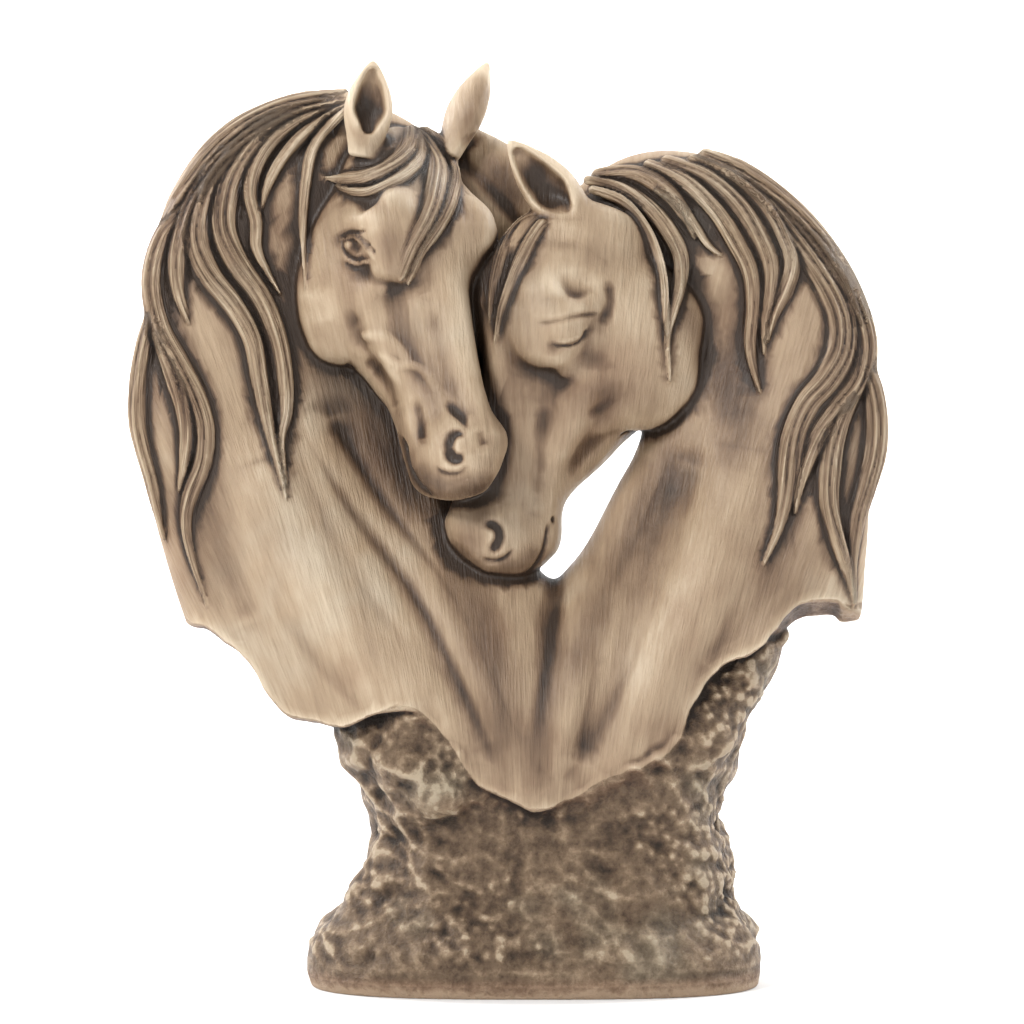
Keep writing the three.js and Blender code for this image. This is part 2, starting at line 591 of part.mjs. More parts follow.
function addHead(clay, place, outline, depth, blend) {
  const [poll, along, up, across] = place;
  const axes = new THREE.Matrix3().set(
    along[0], up[0], across[0], along[1], up[1], across[1], along[2], up[2], across[2],
  ).invert();
  const local = (x, y, z) => new THREE.Vector3(x - poll[0], y - poll[1], z - poll[2]).applyMatrix3(axes);
  const box = new THREE.Box3();
  for (const l of [-0.12, 1.07]) {
    for (const f of [-0.38, 0.26]) {
      for (const w of [-0.27, 0.27]) {
        box.expandByPoint(new THREE.Vector3(...[0, 1, 2].map((i) => (
          poll[i] + l * along[i] + f * up[i] + w * across[i]))));
      }
    }
  }
  box.expandByScalar(4);
  const low = box.min.toArray();
  const high = box.max.toArray();
  const trim = clay.outlineGrid(curve(onPlane(outline, depth), 3, true));
  const nz = clay.count[2];
  const e = 0.5;
  const unit = (x, y, z) => {
    const q = local(x, y, z);
    return headSection(q.x, q.y, Math.abs(q.z));
  };
  clay.add(low, high, blend, (x, y, z, i, j, k) => {
    const g = unit(x, y, z);
    const slope = Math.hypot(
      unit(x + e, y, z) - unit(x - e, y, z),
      unit(x, y + e, z) - unit(x, y - e, z),
      unit(x, y, z + e) - unit(x, y, z - e),
    ) / (2 * e);
    const q = local(x, y, z);
    const d = headForms(clamp(g / Math.max(slope, 1 / 400), -30, 30), q.x, q.y, q.z);
    return smoothMax(smoothMax(d, trim[i * nz + k], 7), y - HEAD_BACK, 10);
  });
}

function addEar(clay, base, tip, baseY, tipY, opening, width) {
  const [bx, bz] = fromPicture(base, baseY);
  const [tx, tz] = fromPicture(tip, tipY);
  const b = new THREE.Vector3(bx, baseY, bz);
  const top = new THREE.Vector3(tx, tipY, tz);
  const axis = top.clone().sub(b);
  const length = axis.length();
  axis.normalize();
  const out = new THREE.Vector3(...opening);
  out.addScaledVector(axis, -out.dot(axis)).normalize();
  const side = new THREE.Vector3().crossVectors(axis, out);
  const box = new THREE.Box3().setFromPoints([
    b.clone().addScaledVector(axis, -0.25 * length), top]);
  box.expandByScalar(width + 4);
  const shape = curve(pairs(EAR_SPAN, EAR_WIDE), 6);
  const q = new THREE.Vector3();
  clay.add(box.min.toArray(), box.max.toArray(), 3, (x, y, z) => {
    q.set(x, y, z).sub(b);
    const u = q.dot(axis) / length;
    const v = q.dot(side);
    const w = q.dot(out);
    const r = lookup(shape, u, 1) * width;
    const shell = (Math.hypot(v / r, w / (0.66 * r)) - 1) * r * 0.66;
    const outer = smoothMax(shell, (Math.abs(u - 0.375) - 0.625) * length, 1.5);
    // the cup narrows towards the root
    const cup = r * (0.25 + 0.75 * ramp(u, -0.05, 0.4));
    const hollow = (Math.hypot(v / (0.66 * cup), (w - 0.8 * r) / (0.8 * cup)) - 1) * cup * 0.55;
    const inner = smoothMax(hollow, (Math.abs(u - 0.47) - 0.43) * length, 2);
    return smoothMax(outer, -inner, 1.2);
  });
}

// Y of the front (side -1) or back (side 1) surface over the front plane, evened out by a blur
function surfaceMap(clay, side, blur) {
  const [nx, ny, nz] = clay.count;
  const depth = new Float32Array(nx * nz);
  const known = new Float32Array(nx * nz);
  for (let i = 0; i < nx; i += 1) {
    for (let k = 0; k < nz; k += 1) {
      for (let m = 1; m < ny; m += 1) {
        const j = side < 0 ? m : ny - 1 - m;
        const v = clay.value[clay.index(i, j, k)];
        if (v < 0) {
          const before = clay.value[clay.index(i, j + side, k)];
          const t = v / (v - before);
          depth[i * nz + k] = clay.low[1] + (j + side * t) * clay.step;
          known[i * nz + k] = 1;
          break;
        }
      }
    }
  }
  const reach = Math.ceil((3 * blur) / clay.step);
  const kernel = [];
  for (let m = -reach; m <= reach; m += 1) kernel.push(Math.exp(-((m * clay.step) ** 2) / (2 * blur ** 2)));
  const spread = (grid) => {
    const pass = (src, di, dk) => {
      const out = new Float32Array(nx * nz);
      for (let i = 0; i < nx; i += 1) {
        for (let k = 0; k < nz; k += 1) {
          let total = 0;
          for (let m = -reach; m <= reach; m += 1) {
            const a = i + m * di;
            const c = k + m * dk;
            if (a >= 0 && a < nx && c >= 0 && c < nz) total += src[a * nz + c] * kernel[m + reach];
          }
          out[i * nz + k] = total;
        }
      }
      return out;
    };
    return pass(pass(grid, 1, 0), 0, 1);
  };
  const a = spread(depth);
  const b = spread(known);
  const y = a.map((v, n) => (b[n] > 1e-3 ? v / b[n] : 0));
  const at = (x, z) => {
    const u = clamp((x - clay.low[0]) / clay.step, 0, nx - 1.001);
    const v = clamp((z - clay.low[2]) / clay.step, 0, nz - 1.001);
    const i = Math.floor(u);
    const k = Math.floor(v);
    const n = i * nz + k;
    return mix(mix(y[n], y[n + 1], v - k), mix(y[n + nz], y[n + nz + 1], v - k), u - i);
  };
  const e = clay.step;
  return {
    side,
    at,
    normal: (x, z) => {
      const sx = (at(x + e, z) - at(x - e, z)) / (2 * e);
      const sz = (at(x, z + e) - at(x, z - e)) / (2 * e);
      const f = Math.min(1, 1.6 / Math.max(Math.hypot(sx, sz), 1e-6));
      return new THREE.Vector3(-side * sx * f, side, -side * sz * f).normalize();
    },
  };
}

// A flattened lock of hair that lies on the surface along a guide line and tapers to its tip
function addLock(clay, map, points, width, thickness, lift) {
  const line = curve(points, 5);
  const n = line.length;
  const fullness = pairs(LOCK_SPAN, LOCK_WIDE);
  const body = pairs(LOCK_SPAN, LOCK_TALL);
  const raw = line.map(([x, z]) => map.at(x, z));
  const spine = line.map(([x, z], i) => {
    let y = 0;
    [1, 2, 3, 2, 1].forEach((w, m) => {
      y += (w / 9) * raw[clamp(i + m - 2, 0, n - 1)];
    });
    return new THREE.Vector3(x, y + map.side * lift, z);
  });
  const frames = spine.map((p, i) => {
    const tangent = spine[Math.min(i + 1, n - 1)].clone().sub(spine[Math.max(i - 1, 0)]).normalize();
    const normal = map.normal(p.x, p.z);
    normal.addScaledVector(tangent, -normal.dot(tangent)).normalize();
    const t = i / (n - 1);
    return {
      normal,
      side: new THREE.Vector3().crossVectors(tangent, normal),
      half: width * lookup(fullness, t, 1),
      thick: thickness * lookup(body, t, 1),
    };
  });
  const reach = width + 5;
  const box = new THREE.Box3().setFromPoints(spine).expandByScalar(reach);
  const q = new THREE.Vector3();
  const e = new THREE.Vector3();
  clay.add(box.min.toArray(), box.max.toArray(), 1.2, (x, y, z) => {
    let best = reach * reach;
    let seg = -1;
    let along = 0;
    for (let i = 0; i < n - 1; i += 1) {
      const p = spine[i];
      if (Math.abs(x - p.x) > 2 * reach || Math.abs(z - p.z) > 2 * reach) continue;
      e.copy(spine[i + 1]).sub(p);
      q.set(x, y, z).sub(p);
      const t = clamp(q.dot(e) / e.lengthSq(), 0, 1);
      q.addScaledVector(e, -t);
      const d = q.lengthSq();
      if (d < best) {
        best = d;
        seg = i;
        along = t;
      }
    }
    if (seg < 0) return 30;
    const a = frames[seg];
    const b = frames[seg + 1];
    const half = mix(a.half, b.half, along);
    const thick = mix(a.thick, b.thick, along);
    q.set(x, y, z).sub(spine[seg].clone().lerp(spine[seg + 1], along));
    const u = q.dot(a.side.clone().lerp(b.side, along)) / half;
    const v = q.dot(a.normal.clone().lerp(b.normal, along)) / thick;
    return (Math.hypot(u, v) - 1) * Math.min(half, thick);
  });
}

// A soft swelling (height above 0) or hollow of the front surface along a guide line
function addSwell(clay, map, points, wide, height) {
  const line = points.length > 2 ? curve(points, 4) : points;
  const n = line.length;
  const [low, high] = planeBounds(line, wide);
  const nz = clay.count[2];
  const cache = new Map();
  const strength = (x, z) => {
    let best = 0;
    for (let i = 0; i < Math.max(n - 1, 1); i += 1) {
      const [ax, az] = line[i];
      const [bx, bz] = line[Math.min(i + 1, n - 1)];
      const [ex, ez] = [bx - ax, bz - az];
      const h = clamp(((x - ax) * ex + (z - az) * ez) / Math.max(ex * ex + ez * ez, 1e-9), 0, 1);
      const q = ((x - ax - h * ex) ** 2 + (z - az - h * ez) ** 2) / wide ** 2;
      const t = (i + h) / Math.max(n - 1, 1);
      const end = n > 1 ? ramp(Math.min(t, 1 - t), 0, 0.2) : 1;
      best = Math.max(best, clamp(1 - q, 0, 1) ** 2 * end);
    }
    return best;
  };
  clay.each(low, high, (x, y, z, m, i, j, k) => {
    const key = i * nz + k;
    if (!cache.has(key)) cache.set(key, [strength(x, z), map.at(x, z)]);
    const [s, front] = cache.get(key);
    clay.value[m] -= height * s * ramp(front + 14 - y, 0, 10);
  });
}

// A crisp ridge (height above 0) or groove drawn on the front surface
function addForm(clay, map, points, wide, height, blend) {
  const line = points.length > 2 ? curve(points, 4) : points;
  const tall = Math.abs(height);
  const full = (wide ** 2 + tall ** 2) / (2 * tall);
  const sink = (full - tall) * Math.sign(height);
  const n = line.length;
  const spine = line.map(([x, z]) => new THREE.Vector3(x, map.at(x, z) + sink, z));
  const radius = line.map((_, i) => {
    const t = n > 1 ? i / (n - 1) : 0.5;
    return full - (tall + 0.4) * (1 - clamp(Math.min(t, 1 - t) / 0.25, 0, 1)) ** 2;
  });
  const box = new THREE.Box3().setFromPoints(spine).expandByScalar(full + 2.5);
  const q = new THREE.Vector3();
  const e = new THREE.Vector3();
  const distance = (x, y, z) => {
    let best = 20;
    for (let i = 0; i < Math.max(n - 1, 1); i += 1) {
      const next = Math.min(i + 1, n - 1);
      e.copy(spine[next]).sub(spine[i]);
      q.set(x, y, z).sub(spine[i]);
      const t = clamp(q.dot(e) / Math.max(e.lengthSq(), 1e-9), 0, 1);
      q.addScaledVector(e, -t);
      best = Math.min(best, q.length() - mix(radius[i], radius[next], t));
    }
    return best;
  };
  const low = box.min.toArray();
  const high = box.max.toArray();
  if (height > 0) clay.add(low, high, blend, distance);
  else clay.cut(low, high, blend, distance);
}

// The closed surface where the distance is zero, found in six tetrahedra of each grid cell
function skin(clay) {
  const { value, step, low } = clay;
  const [nx, ny, nz] = clay.count;
  const total = nx * ny * nz;
  for (let n = 0; n < total; n += 1) if (Math.abs(value[n]) < 1e-3) value[n] = 1e-3;
  const stride = [ny * nz, nz, 1];
  const orders = [[0, 1, 2], [1, 2, 0], [2, 0, 1], [0, 2, 1], [2, 1, 0], [1, 0, 2]];
  const points = [];
  const seen = new Map();
  const faces = [];
  const place = (n) => {
    const i = Math.floor(n / stride[0]);
    const j = Math.floor((n % stride[0]) / nz);
    return [low[0] + i * step, low[1] + j * step, low[2] + (n % nz) * step];
  };
  const crossing = (a, b) => {
    const [p, q] = a < b ? [a, b] : [b, a];
    const key = p * total + q;
    if (!seen.has(key)) {
      const t = clamp(value[p] / (value[p] - value[q]), 0.02, 0.98);
      const from = place(p);
      const to = place(q);
      seen.set(key, points.length);
      points.push(from.map((v, m) => mix(v, to[m], t)));
    }
    return seen.get(key);
  };
  const face = (a, b, c, inner, outer) => {
    const [pa, pb, pc] = [points[a], points[b], points[c]];
    const u = pb.map((v, m) => v - pa[m]);
    const w = pc.map((v, m) => v - pa[m]);
    const normal = [u[1] * w[2] - u[2] * w[1], u[2] * w[0] - u[0] * w[2], u[0] * w[1] - u[1] * w[0]];
    const [pi, po] = [place(inner), place(outer)];
    const facing = normal.reduce((s, v, m) => s + v * (po[m] - pi[m]), 0);
    faces.push(facing > 0 ? [a, b, c] : [a, c, b]);
  };
  for (let i = 0; i < nx - 1; i += 1) {
    for (let j = 0; j < ny - 1; j += 1) {
      for (let k = 0; k < nz - 1; k += 1) {
        const n0 = clay.index(i, j, k);
        let below = 0;
        for (const a of [0, stride[0]]) {
          for (const b of [0, stride[1]]) {
            if (value[n0 + a + b] < 0) below += 1;
            if (value[n0 + a + b + 1] < 0) below += 1;
          }
        }
        if (below === 0 || below === 8) continue;
        for (const order of orders) {
          const tet = [n0];
          for (const axis of order) tet.push(tet[tet.length - 1] + stride[axis]);
          const inner = tet.filter((n) => value[n] < 0);
          const outer = tet.filter((n) => value[n] >= 0);
          if (inner.length === 1 || inner.length === 3) {
            const one = inner.length === 1 ? inner[0] : outer[0];
            const rest = inner.length === 1 ? outer : inner;
            const [a, b, c] = rest.map((n) => crossing(one, n));
            face(a, b, c, inner[0], outer[0]);
          } else if (inner.length === 2) {
            const a = crossing(inner[0], outer[0]);
            const b = crossing(inner[0], outer[1]);
            const c = crossing(inner[1], outer[1]);
            const d = crossing(inner[1], outer[0]);
            face(a, b, c, inner[0], outer[1]);
            face(a, c, d, inner[0], outer[0]);
          }
        }
      }
    }
  }
  return { points, faces };
}

// The largest closed surface on its own
function mainBody({ points, faces }) {
  const parent = points.map((_, i) => i);
  const root = (i) => {
    let r = i;
    while (parent[r] !== r) {
      parent[r] = parent[parent[r]];
      r = parent[r];
    }
    return r;
  };
  faces.forEach(([a, b, c]) => {
    parent[root(b)] = root(a);
    parent[root(c)] = root(a);
  });
  const size = new Map();
  faces.forEach(([a]) => size.set(root(a), (size.get(root(a)) || 0) + 1));
  const [main] = [...size.entries()].sort((a, b) => b[1] - a[1])[0];
  const index = new Map();
  const kept = [];
  const used = (v) => {
    if (!index.has(v)) {
      index.set(v, kept.length);
      kept.push(points[v]);
    }
    return index.get(v);
  };
  return { faces: faces.filter(([a]) => root(a) === main).map((f) => f.map(used)), points: kept };
}

// Evens out the steps of the grid without shrinking the form
function soften({ points, faces }, rounds) {
  const near = points.map(() => []);
  faces.forEach(([a, b, c]) => {
    near[a].push(b);
    near[b].push(c);
    near[c].push(a);
  });
  let now = points;
  for (let round = 0; round < rounds * 2; round += 1) {
    const pull = round % 2 === 0 ? 0.5 : -0.53;
    now = now.map((p, n) => {
      const mean = [0, 0, 0];
      near[n].forEach((m) => {
        for (let i = 0; i < 3; i += 1) mean[i] += now[m][i] / near[n].length;
      });
      const moved = p.map((v, i) => v + pull * (mean[i] - v));
      if (p[2] === 0) moved[2] = 0;
      return moved;
    });
  }
  return { points: now, faces };
}

// Fewer faces: edges collapse in the order of how little the surface moves
function reduce({ points, faces }, target) {
  const count = points.length;
  const quadric = new Float64Array(count * 10);
  const around = Array.from({ length: count }, () => new Set());
  const alive = new Uint8Array(faces.length).fill(1);
  const gone = new Uint8Array(count);
  const stamp = new Int32Array(count);
  const normalOf = (a, b, c) => {
    const ux = b[0] - a[0];
    const uy = b[1] - a[1];
    const uz = b[2] - a[2];
    const wx = c[0] - a[0];
    const wy = c[1] - a[1];
    const wz = c[2] - a[2];
    return [uy * wz - uz * wy, uz * wx - ux * wz, ux * wy - uy * wx];
  };
  faces.forEach((f, n) => {
    f.forEach((v) => around[v].add(n));
    const [a, b, c] = f.map((v) => points[v]);
    const m = normalOf(a, b, c);
    const area = Math.hypot(m[0], m[1], m[2]);
    if (area < 1e-9) return;
    const [x, y, z] = m.map((v) => v / area);
    const w = -(x * a[0] + y * a[1] + z * a[2]);
    const plane = [x * x, x * y, x * z, x * w, y * y, y * z, y * w, z * z, z * w, w * w];
    f.forEach((v) => plane.forEach((q, i) => {
      quadric[v * 10 + i] += q * area;
    }));
  });
  const cost = (q, p) => {
    const [x, y, z] = p;
    return q[0] * x * x + 2 * q[1] * x * y + 2 * q[2] * x * z + 2 * q[3] * x
      + q[4] * y * y + 2 * q[5] * y * z + 2 * q[6] * y + q[7] * z * z + 2 * q[8] * z + q[9];
  };
  const plan = (u, v) => {
    const q = new Float64Array(10);
    for (let i = 0; i < 10; i += 1) q[i] = quadric[u * 10 + i] + quadric[v * 10 + i];
    const [a, b] = [points[u], points[v]];
    const middle = a.map((s, i) => (s + b[i]) / 2);
    const soft = 0.002 * (q[0] + q[4] + q[7]);
    const [m00, m11, m22] = [q[0] + soft, q[4] + soft, q[7] + soft];
    const rhs = [-q[3] + soft * middle[0], -q[6] + soft * middle[1], -q[8] + soft * middle[2]];
    const c00 = m11 * m22 - q[5] * q[5];
    const c01 = q[2] * q[5] - q[1] * m22;
    const c02 = q[1] * q[5] - q[2] * m11;
    const det = m00 * c00 + q[1] * c01 + q[2] * c02;
    let p = middle;
    if (Math.abs(det) > 1e-12) {
      const c11 = m00 * m22 - q[2] * q[2];
      const c12 = q[1] * q[2] - m00 * q[5];
      const c22 = m00 * m11 - q[1] * q[1];
      p = [
        (c00 * rhs[0] + c01 * rhs[1] + c02 * rhs[2]) / det,
        (c01 * rhs[0] + c11 * rhs[1] + c12 * rhs[2]) / det,
        (c02 * rhs[0] + c12 * rhs[1] + c22 * rhs[2]) / det,
      ];
    }
    if (a[2] === 0 || b[2] === 0) p[2] = 0;
    const length = Math.hypot(a[0] - b[0], a[1] - b[1], a[2] - b[2]);
    const moved = Math.hypot(p[0] - middle[0], p[1] - middle[1], p[2] - middle[2]);
    if (moved > 2 * length) p = [middle[0], middle[1], a[2] === 0 || b[2] === 0 ? 0 : middle[2]];
    return { p, error: Math.max(0, cost(q, p)) + 1e-3 * length ** 2 };
  };
  const heap = [];
  const swap = (i, j) => {
    [heap[i], heap[j]] = [heap[j], heap[i]];
  };
  const push = (u, v) => {
    const { p, error } = plan(u, v);
    heap.push({ u, v, p, error, mark: stamp[u] + stamp[v] });
    let i = heap.length - 1;
    while (i > 0) {
      const parent = (i - 1) >> 1;
      if (heap[parent].error <= heap[i].error) break;
      swap(i, parent);
      i = parent;
    }
  };
  const pop = () => {
    const top = heap[0];
    const last = heap.pop();
    if (heap.length) {
      heap[0] = last;
      let i = 0;
      for (;;) {
        const l = 2 * i + 1;
        if (l >= heap.length) break;
        const m = l + 1 < heap.length && heap[l + 1].error < heap[l].error ? l + 1 : l;
        if (heap[i].error <= heap[m].error) break;
        swap(i, m);
        i = m;
      }
    }
    return top;
  };
  const neighbours = (v) => {
    const out = new Set();
    around[v].forEach((f) => faces[f].forEach((n) => {
      if (n !== v) out.add(n);
    }));
    return out;
  };
  let left = faces.length;
  let turn = 0.4;
  let slim = 0.08;
  const longest = (three) => {
    let most = 0;
    for (let i = 0; i < 3; i += 1) {
      const [s, t] = [three[i], three[(i + 1) % 3]];
      most = Math.max(most, (s[0] - t[0]) ** 2 + (s[1] - t[1]) ** 2 + (s[2] - t[2]) ** 2);
    }
    return most;
  };
  const keepsShape = (v, other, p) => {
    for (const n of around[v]) {
      const f = faces[n];
      if (f.includes(other)) continue;
      const old = f.map((i) => points[i]);
      const fresh = f.map((i) => (i === v ? p : points[i]));
      const a = normalOf(...old);
      const b = normalOf(...fresh);
      const la = Math.hypot(...a);
      const lb = Math.hypot(...b);
      if (lb < 1e-4) return false;
      const shape = la / longest(old);
      if (shape > 0.01 && a[0] * b[0] + a[1] * b[1] + a[2] * b[2] < turn * la * lb) return false;
      if (lb < Math.min(slim, shape * 0.9) * longest(fresh)) return false;
    }
    return true;
  };
  const collapseAll = () => {
    while (left > target && heap.length) {
      const { u, v, p, mark } = pop();
      if (gone[u] || gone[v] || mark !== stamp[u] + stamp[v]) continue;
      const nu = neighbours(u);
      if (!nu.has(v)) continue;
      let shared = 0;
      neighbours(v).forEach((n) => {
        if (nu.has(n)) shared += 1;
      });
      if (shared !== 2 || !keepsShape(u, v, p) || !keepsShape(v, u, p)) continue;
      points[u] = p;
      for (let i = 0; i < 10; i += 1) quadric[u * 10 + i] += quadric[v * 10 + i];
      for (const n of [...around[v]]) {
        const f = faces[n];
        if (f.includes(u)) {
          alive[n] = 0;
          f.forEach((i) => around[i].delete(n));
          left -= 1;
        } else {
          f[f.indexOf(v)] = u;
          around[u].add(n);
        }
      }
      around[v].clear();
      gone[v] = 1;
      stamp[u] += 1 + stamp[v];
      neighbours(u).forEach((n) => push(u, n));
    }
  };
  for (let round = 0; round < 8 && left > target; round += 1) {
    for (let v = 0; v < count; v += 1) neighbours(v).forEach((n) => n > v && push(v, n));
    collapseAll();
    turn -= 0.08;
    slim *= 0.7;
  }
  const index = new Map();
  const kept = [];
  const used = (v) => {
    if (!index.has(v)) {
      index.set(v, kept.length);
      kept.push(points[v]);
    }
    return index.get(v);
  };
  return { faces: faces.filter((_, n) => alive[n]).map((f) => f.map(used)), points: kept };
}

// Scales each axis so that the piece measures exactly its width, depth and height
function fit(points) {
  const box = new THREE.Box3().setFromPoints(points.map((p) => new THREE.Vector3(...p)));
  const size = box.getSize(new THREE.Vector3());
  const middle = box.getCenter(new THREE.Vector3());
  return points.map(([x, y, z]) => [
    ((x - middle.x) * WIDTH) / size.x,
    ((y - middle.y) * DEPTH) / size.y,
    ((z - box.min.z) * HEIGHT) / size.z,
  ]);
}

function model() {
  const clay = new Clay(GRID, LOW, HIGH);
  addNeck(clay, LEFT_NECK, LEFT_NECK_DEPTHS);
  addNeck(clay, RIGHT_NECK, RIGHT_NECK_DEPTHS);
  const aboveBreak = breakNecks(clay);
  addStand(clay, aboveBreak);
  addHead(clay, LEFT_HEAD, LEFT_FACE, -12, 1.5);
  addHead(clay, RIGHT_HEAD, RIGHT_FACE, -8, 2);
  const body = surfaceMap(clay, -1, 5);
  NECK_SWELLS.forEach(([line, ...form]) => addSwell(clay, body, onPlane(line, -36), ...form));
  const bones = surfaceMap(clay, -1, 2);
  FACE_SWELLS.forEach(([line, ...form]) => addSwell(clay, bones, onPlane(line, -30), ...form));
  const face = surfaceMap(clay, -1, 0.8);
  FACE_FORMS.forEach(([line, ...form]) => addForm(clay, face, onPlane(line, -30), ...form));
  for (const side of [-1, 1]) {
    const map = surfaceMap(clay, side, 4);
    MANE_LOCKS.forEach(([line, width]) => {
      addLock(clay, map, onPlane(line, 0), width, LOCK_THICKNESS, LOCK_LIFT);
    });
  }
  const brow = surfaceMap(clay, -1, 2.5);
  FORELOCKS.forEach(([line, width]) => {
    addLock(clay, brow, onPlane(line, -20), width, FORELOCK_THICKNESS, FORELOCK_LIFT);
  });
  clay.even();
  EARS.forEach((ear) => addEar(clay, ...ear));
  // flat underside
  clay.each(LOW, [HIGH[0], HIGH[1], 12], (x, y, z, n) => {
    clay.value[n] = Math.max(clay.value[n], UNDERSIDE_RISE - z);
  });
  return clay;
}

const mesh = mainBody(skin(model()));
mesh.points.forEach((p) => {
  if (p[2] < 0.6) p[2] = 0;
});
const light = reduce(soften(mesh, SOFTEN_ROUNDS), FACES);
const points = fit(light.points);
const geometry = new THREE.BufferGeometry();
geometry.setAttribute('position', new THREE.Float32BufferAttribute(points.flat(), 3));
geometry.setIndex(light.faces.flat());
geometry.computeVertexNormals();

const resin = new THREE.MeshStandardMaterial({ color: 0xb39a78, roughness: 0.7, metalness: 0 });
resin.name = 'resin';
const sculpture = new THREE.Mesh(geometry, resin);
sculpture.name = 'sculpture';

const group = new THREE.Group();
group.name = 'horse_sculpture';
group.add(sculpture);
export default group;
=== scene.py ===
"""Looks of the horse sculpture: one cast resin piece, modelled fine and painted."""
import itertools
import math

import bpy
import numpy as np
import openvdb
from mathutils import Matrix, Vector


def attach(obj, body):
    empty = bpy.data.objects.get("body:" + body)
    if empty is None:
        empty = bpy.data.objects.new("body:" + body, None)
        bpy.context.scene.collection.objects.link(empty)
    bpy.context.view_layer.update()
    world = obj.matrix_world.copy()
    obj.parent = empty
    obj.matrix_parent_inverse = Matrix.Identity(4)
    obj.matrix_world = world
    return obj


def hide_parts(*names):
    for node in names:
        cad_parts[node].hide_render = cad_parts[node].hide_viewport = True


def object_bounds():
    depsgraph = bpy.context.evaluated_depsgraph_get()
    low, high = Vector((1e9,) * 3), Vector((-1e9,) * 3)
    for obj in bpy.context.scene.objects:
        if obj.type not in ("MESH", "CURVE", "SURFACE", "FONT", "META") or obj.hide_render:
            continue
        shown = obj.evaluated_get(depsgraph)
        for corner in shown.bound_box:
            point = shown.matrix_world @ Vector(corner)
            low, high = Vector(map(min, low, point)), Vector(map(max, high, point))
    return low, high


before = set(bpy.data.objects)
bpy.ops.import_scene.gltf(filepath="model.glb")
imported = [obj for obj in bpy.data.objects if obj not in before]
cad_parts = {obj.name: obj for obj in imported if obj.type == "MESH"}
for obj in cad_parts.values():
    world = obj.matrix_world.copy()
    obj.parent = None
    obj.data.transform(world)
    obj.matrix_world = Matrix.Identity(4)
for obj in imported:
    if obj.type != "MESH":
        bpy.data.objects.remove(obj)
CAD_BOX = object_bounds()

# Modelling grid in millimetres, and the number of triangles kept
GRID = 0.9
TRIANGLES = 190000
LOW = (-154.0, -58.0, -6.0)
HIGH = (154.0, 58.0, 364.0)
# distances with which the grids start, well away from any surface and any hair
EMPTY = 60.0
NO_HAIR = 9.0
FRONT = -1
BACK = 1
# how softly one form runs into the next
NECK_BLEND = 6.0
SHOULDER_BLEND = 7.0
LEFT_HEAD_BLEND = 1.5
RIGHT_HEAD_BLEND = 2.0
EAR_BLEND = 3.0
# how far the surface is evened out before swellings, features and hair are laid on it
NECK_EVENING = 5.0
FACE_EVENING = 2.0
FEATURE_EVENING = 0.8
MANE_EVENING = 4.0
BROW_EVENING = 2.5

# The front view in which outlines and guide lines are placed: a square picture seen from afar.
# Places are (across, down) in its pixels.
VIEW_DISTANCE = 1150.0
PIXELS_PER_MM = 2.5745
PICTURE_SIZE = 1024
PICTURE_MIDDLE = 512
VIEW_X = 1.5
VIEW_Z = 182.0
MM_PER_PIXEL = 1 / PIXELS_PER_MM
# Y at which the lines drawn on each part lie
LEFT_FACE_Y = -12
RIGHT_FACE_Y = -8
FACE_Y = -30
NECK_Y = -36
FORELOCK_Y = -20
EDGE_Y = -20
WASH_AND_PAINTED_LIGHT_Y = -20
# how large, in pixels for a millimetre, and from how high the camera sees the finished piece
CAMERA_SCALE = 2.595
CAMERA_HEIGHT = 180

# Stand
STAND_LIP_HEIGHT = 8.0
STAND_TOP = 128.0
STAND_SQUARENESS = 3.0
SHOULDER_DEPTH = 1.8
STAND_STEP_BACK = 5
STONE_REACH = 9.0
# Relief of the stone: spacing and height in millimetres
STAND_COARSE = (34.0, 5.0)
STAND_FINE = (19.0, 3.0)
STAND_CHIP = (9.0, 1.0)
STAND_CRUMB = (4.2, 0.9)
# the same for the chips of the necks' broken edge
EDGE_CHIP = (9.0, 1.6)

# Necks, heads and hair
# how far from its outline a neck is rounded, and how far each of its depths is felt
NECK_EDGE = 41.0
DEPTH_REACH = 20.0
HEAD_LENGTH = 155.0
HEAD_BACK = 42.0
LOCK_THICKNESS = 2.8
FORELOCK_THICKNESS = 2.0
LOCK_LIFT = 0.6
FORELOCK_LIFT = 0.5
LOCK_BLEND = 0.8
STRAND_PITCH = 3.1
STRAND_HEIGHT = 0.16
LOCK_SPAN = (0, 0.12, 0.4, 0.75, 1)
LOCK_WIDE = (0.6, 0.85, 1, 0.7, 0.08)
LOCK_TALL = (0.6, 0.9, 1, 0.85, 0.3)
# how far around each point hollows are felt, for the dark wash and painted shade in them, from the finest
# creases to the broad forms
CREASE_REACH = 0.9
HOLLOW_REACH = 2.4
DEPTH_OF_FORM_REACH = 6.0

# Sections of the stand: height, left and right side, half depth
STAND_SECTIONS = np.array((
    (0, 313, 755, 48.5), (5, 309, 757, 50.3), (10, 309, 757, 50), (18, 316, 747, 47.5),
    (28, 338, 735, 43), (37, 358, 731, 40), (47, 371, 726, 38), (57, 375, 721, 36.5),
    (66, 370, 717, 37), (76, 360, 713, 39), (86, 350, 715, 41), (95, 341, 722, 41),
    (105, 345, 726, 38), (118, 380, 726, 33), (132, 440, 716, 26),
))

# Shoulders of rock under the necks: place in the front view, Y and radius
SHOULDERS = (
    (((690, 752), 2, 15), ((706, 718), 2, 13), ((726, 688), 3, 11), ((748, 660), 5, 9), ((772, 632), 7, 6)),
    (((374, 752), -14, 7), ((405, 756), -20, 9), ((445, 785), -26, 9)),
)

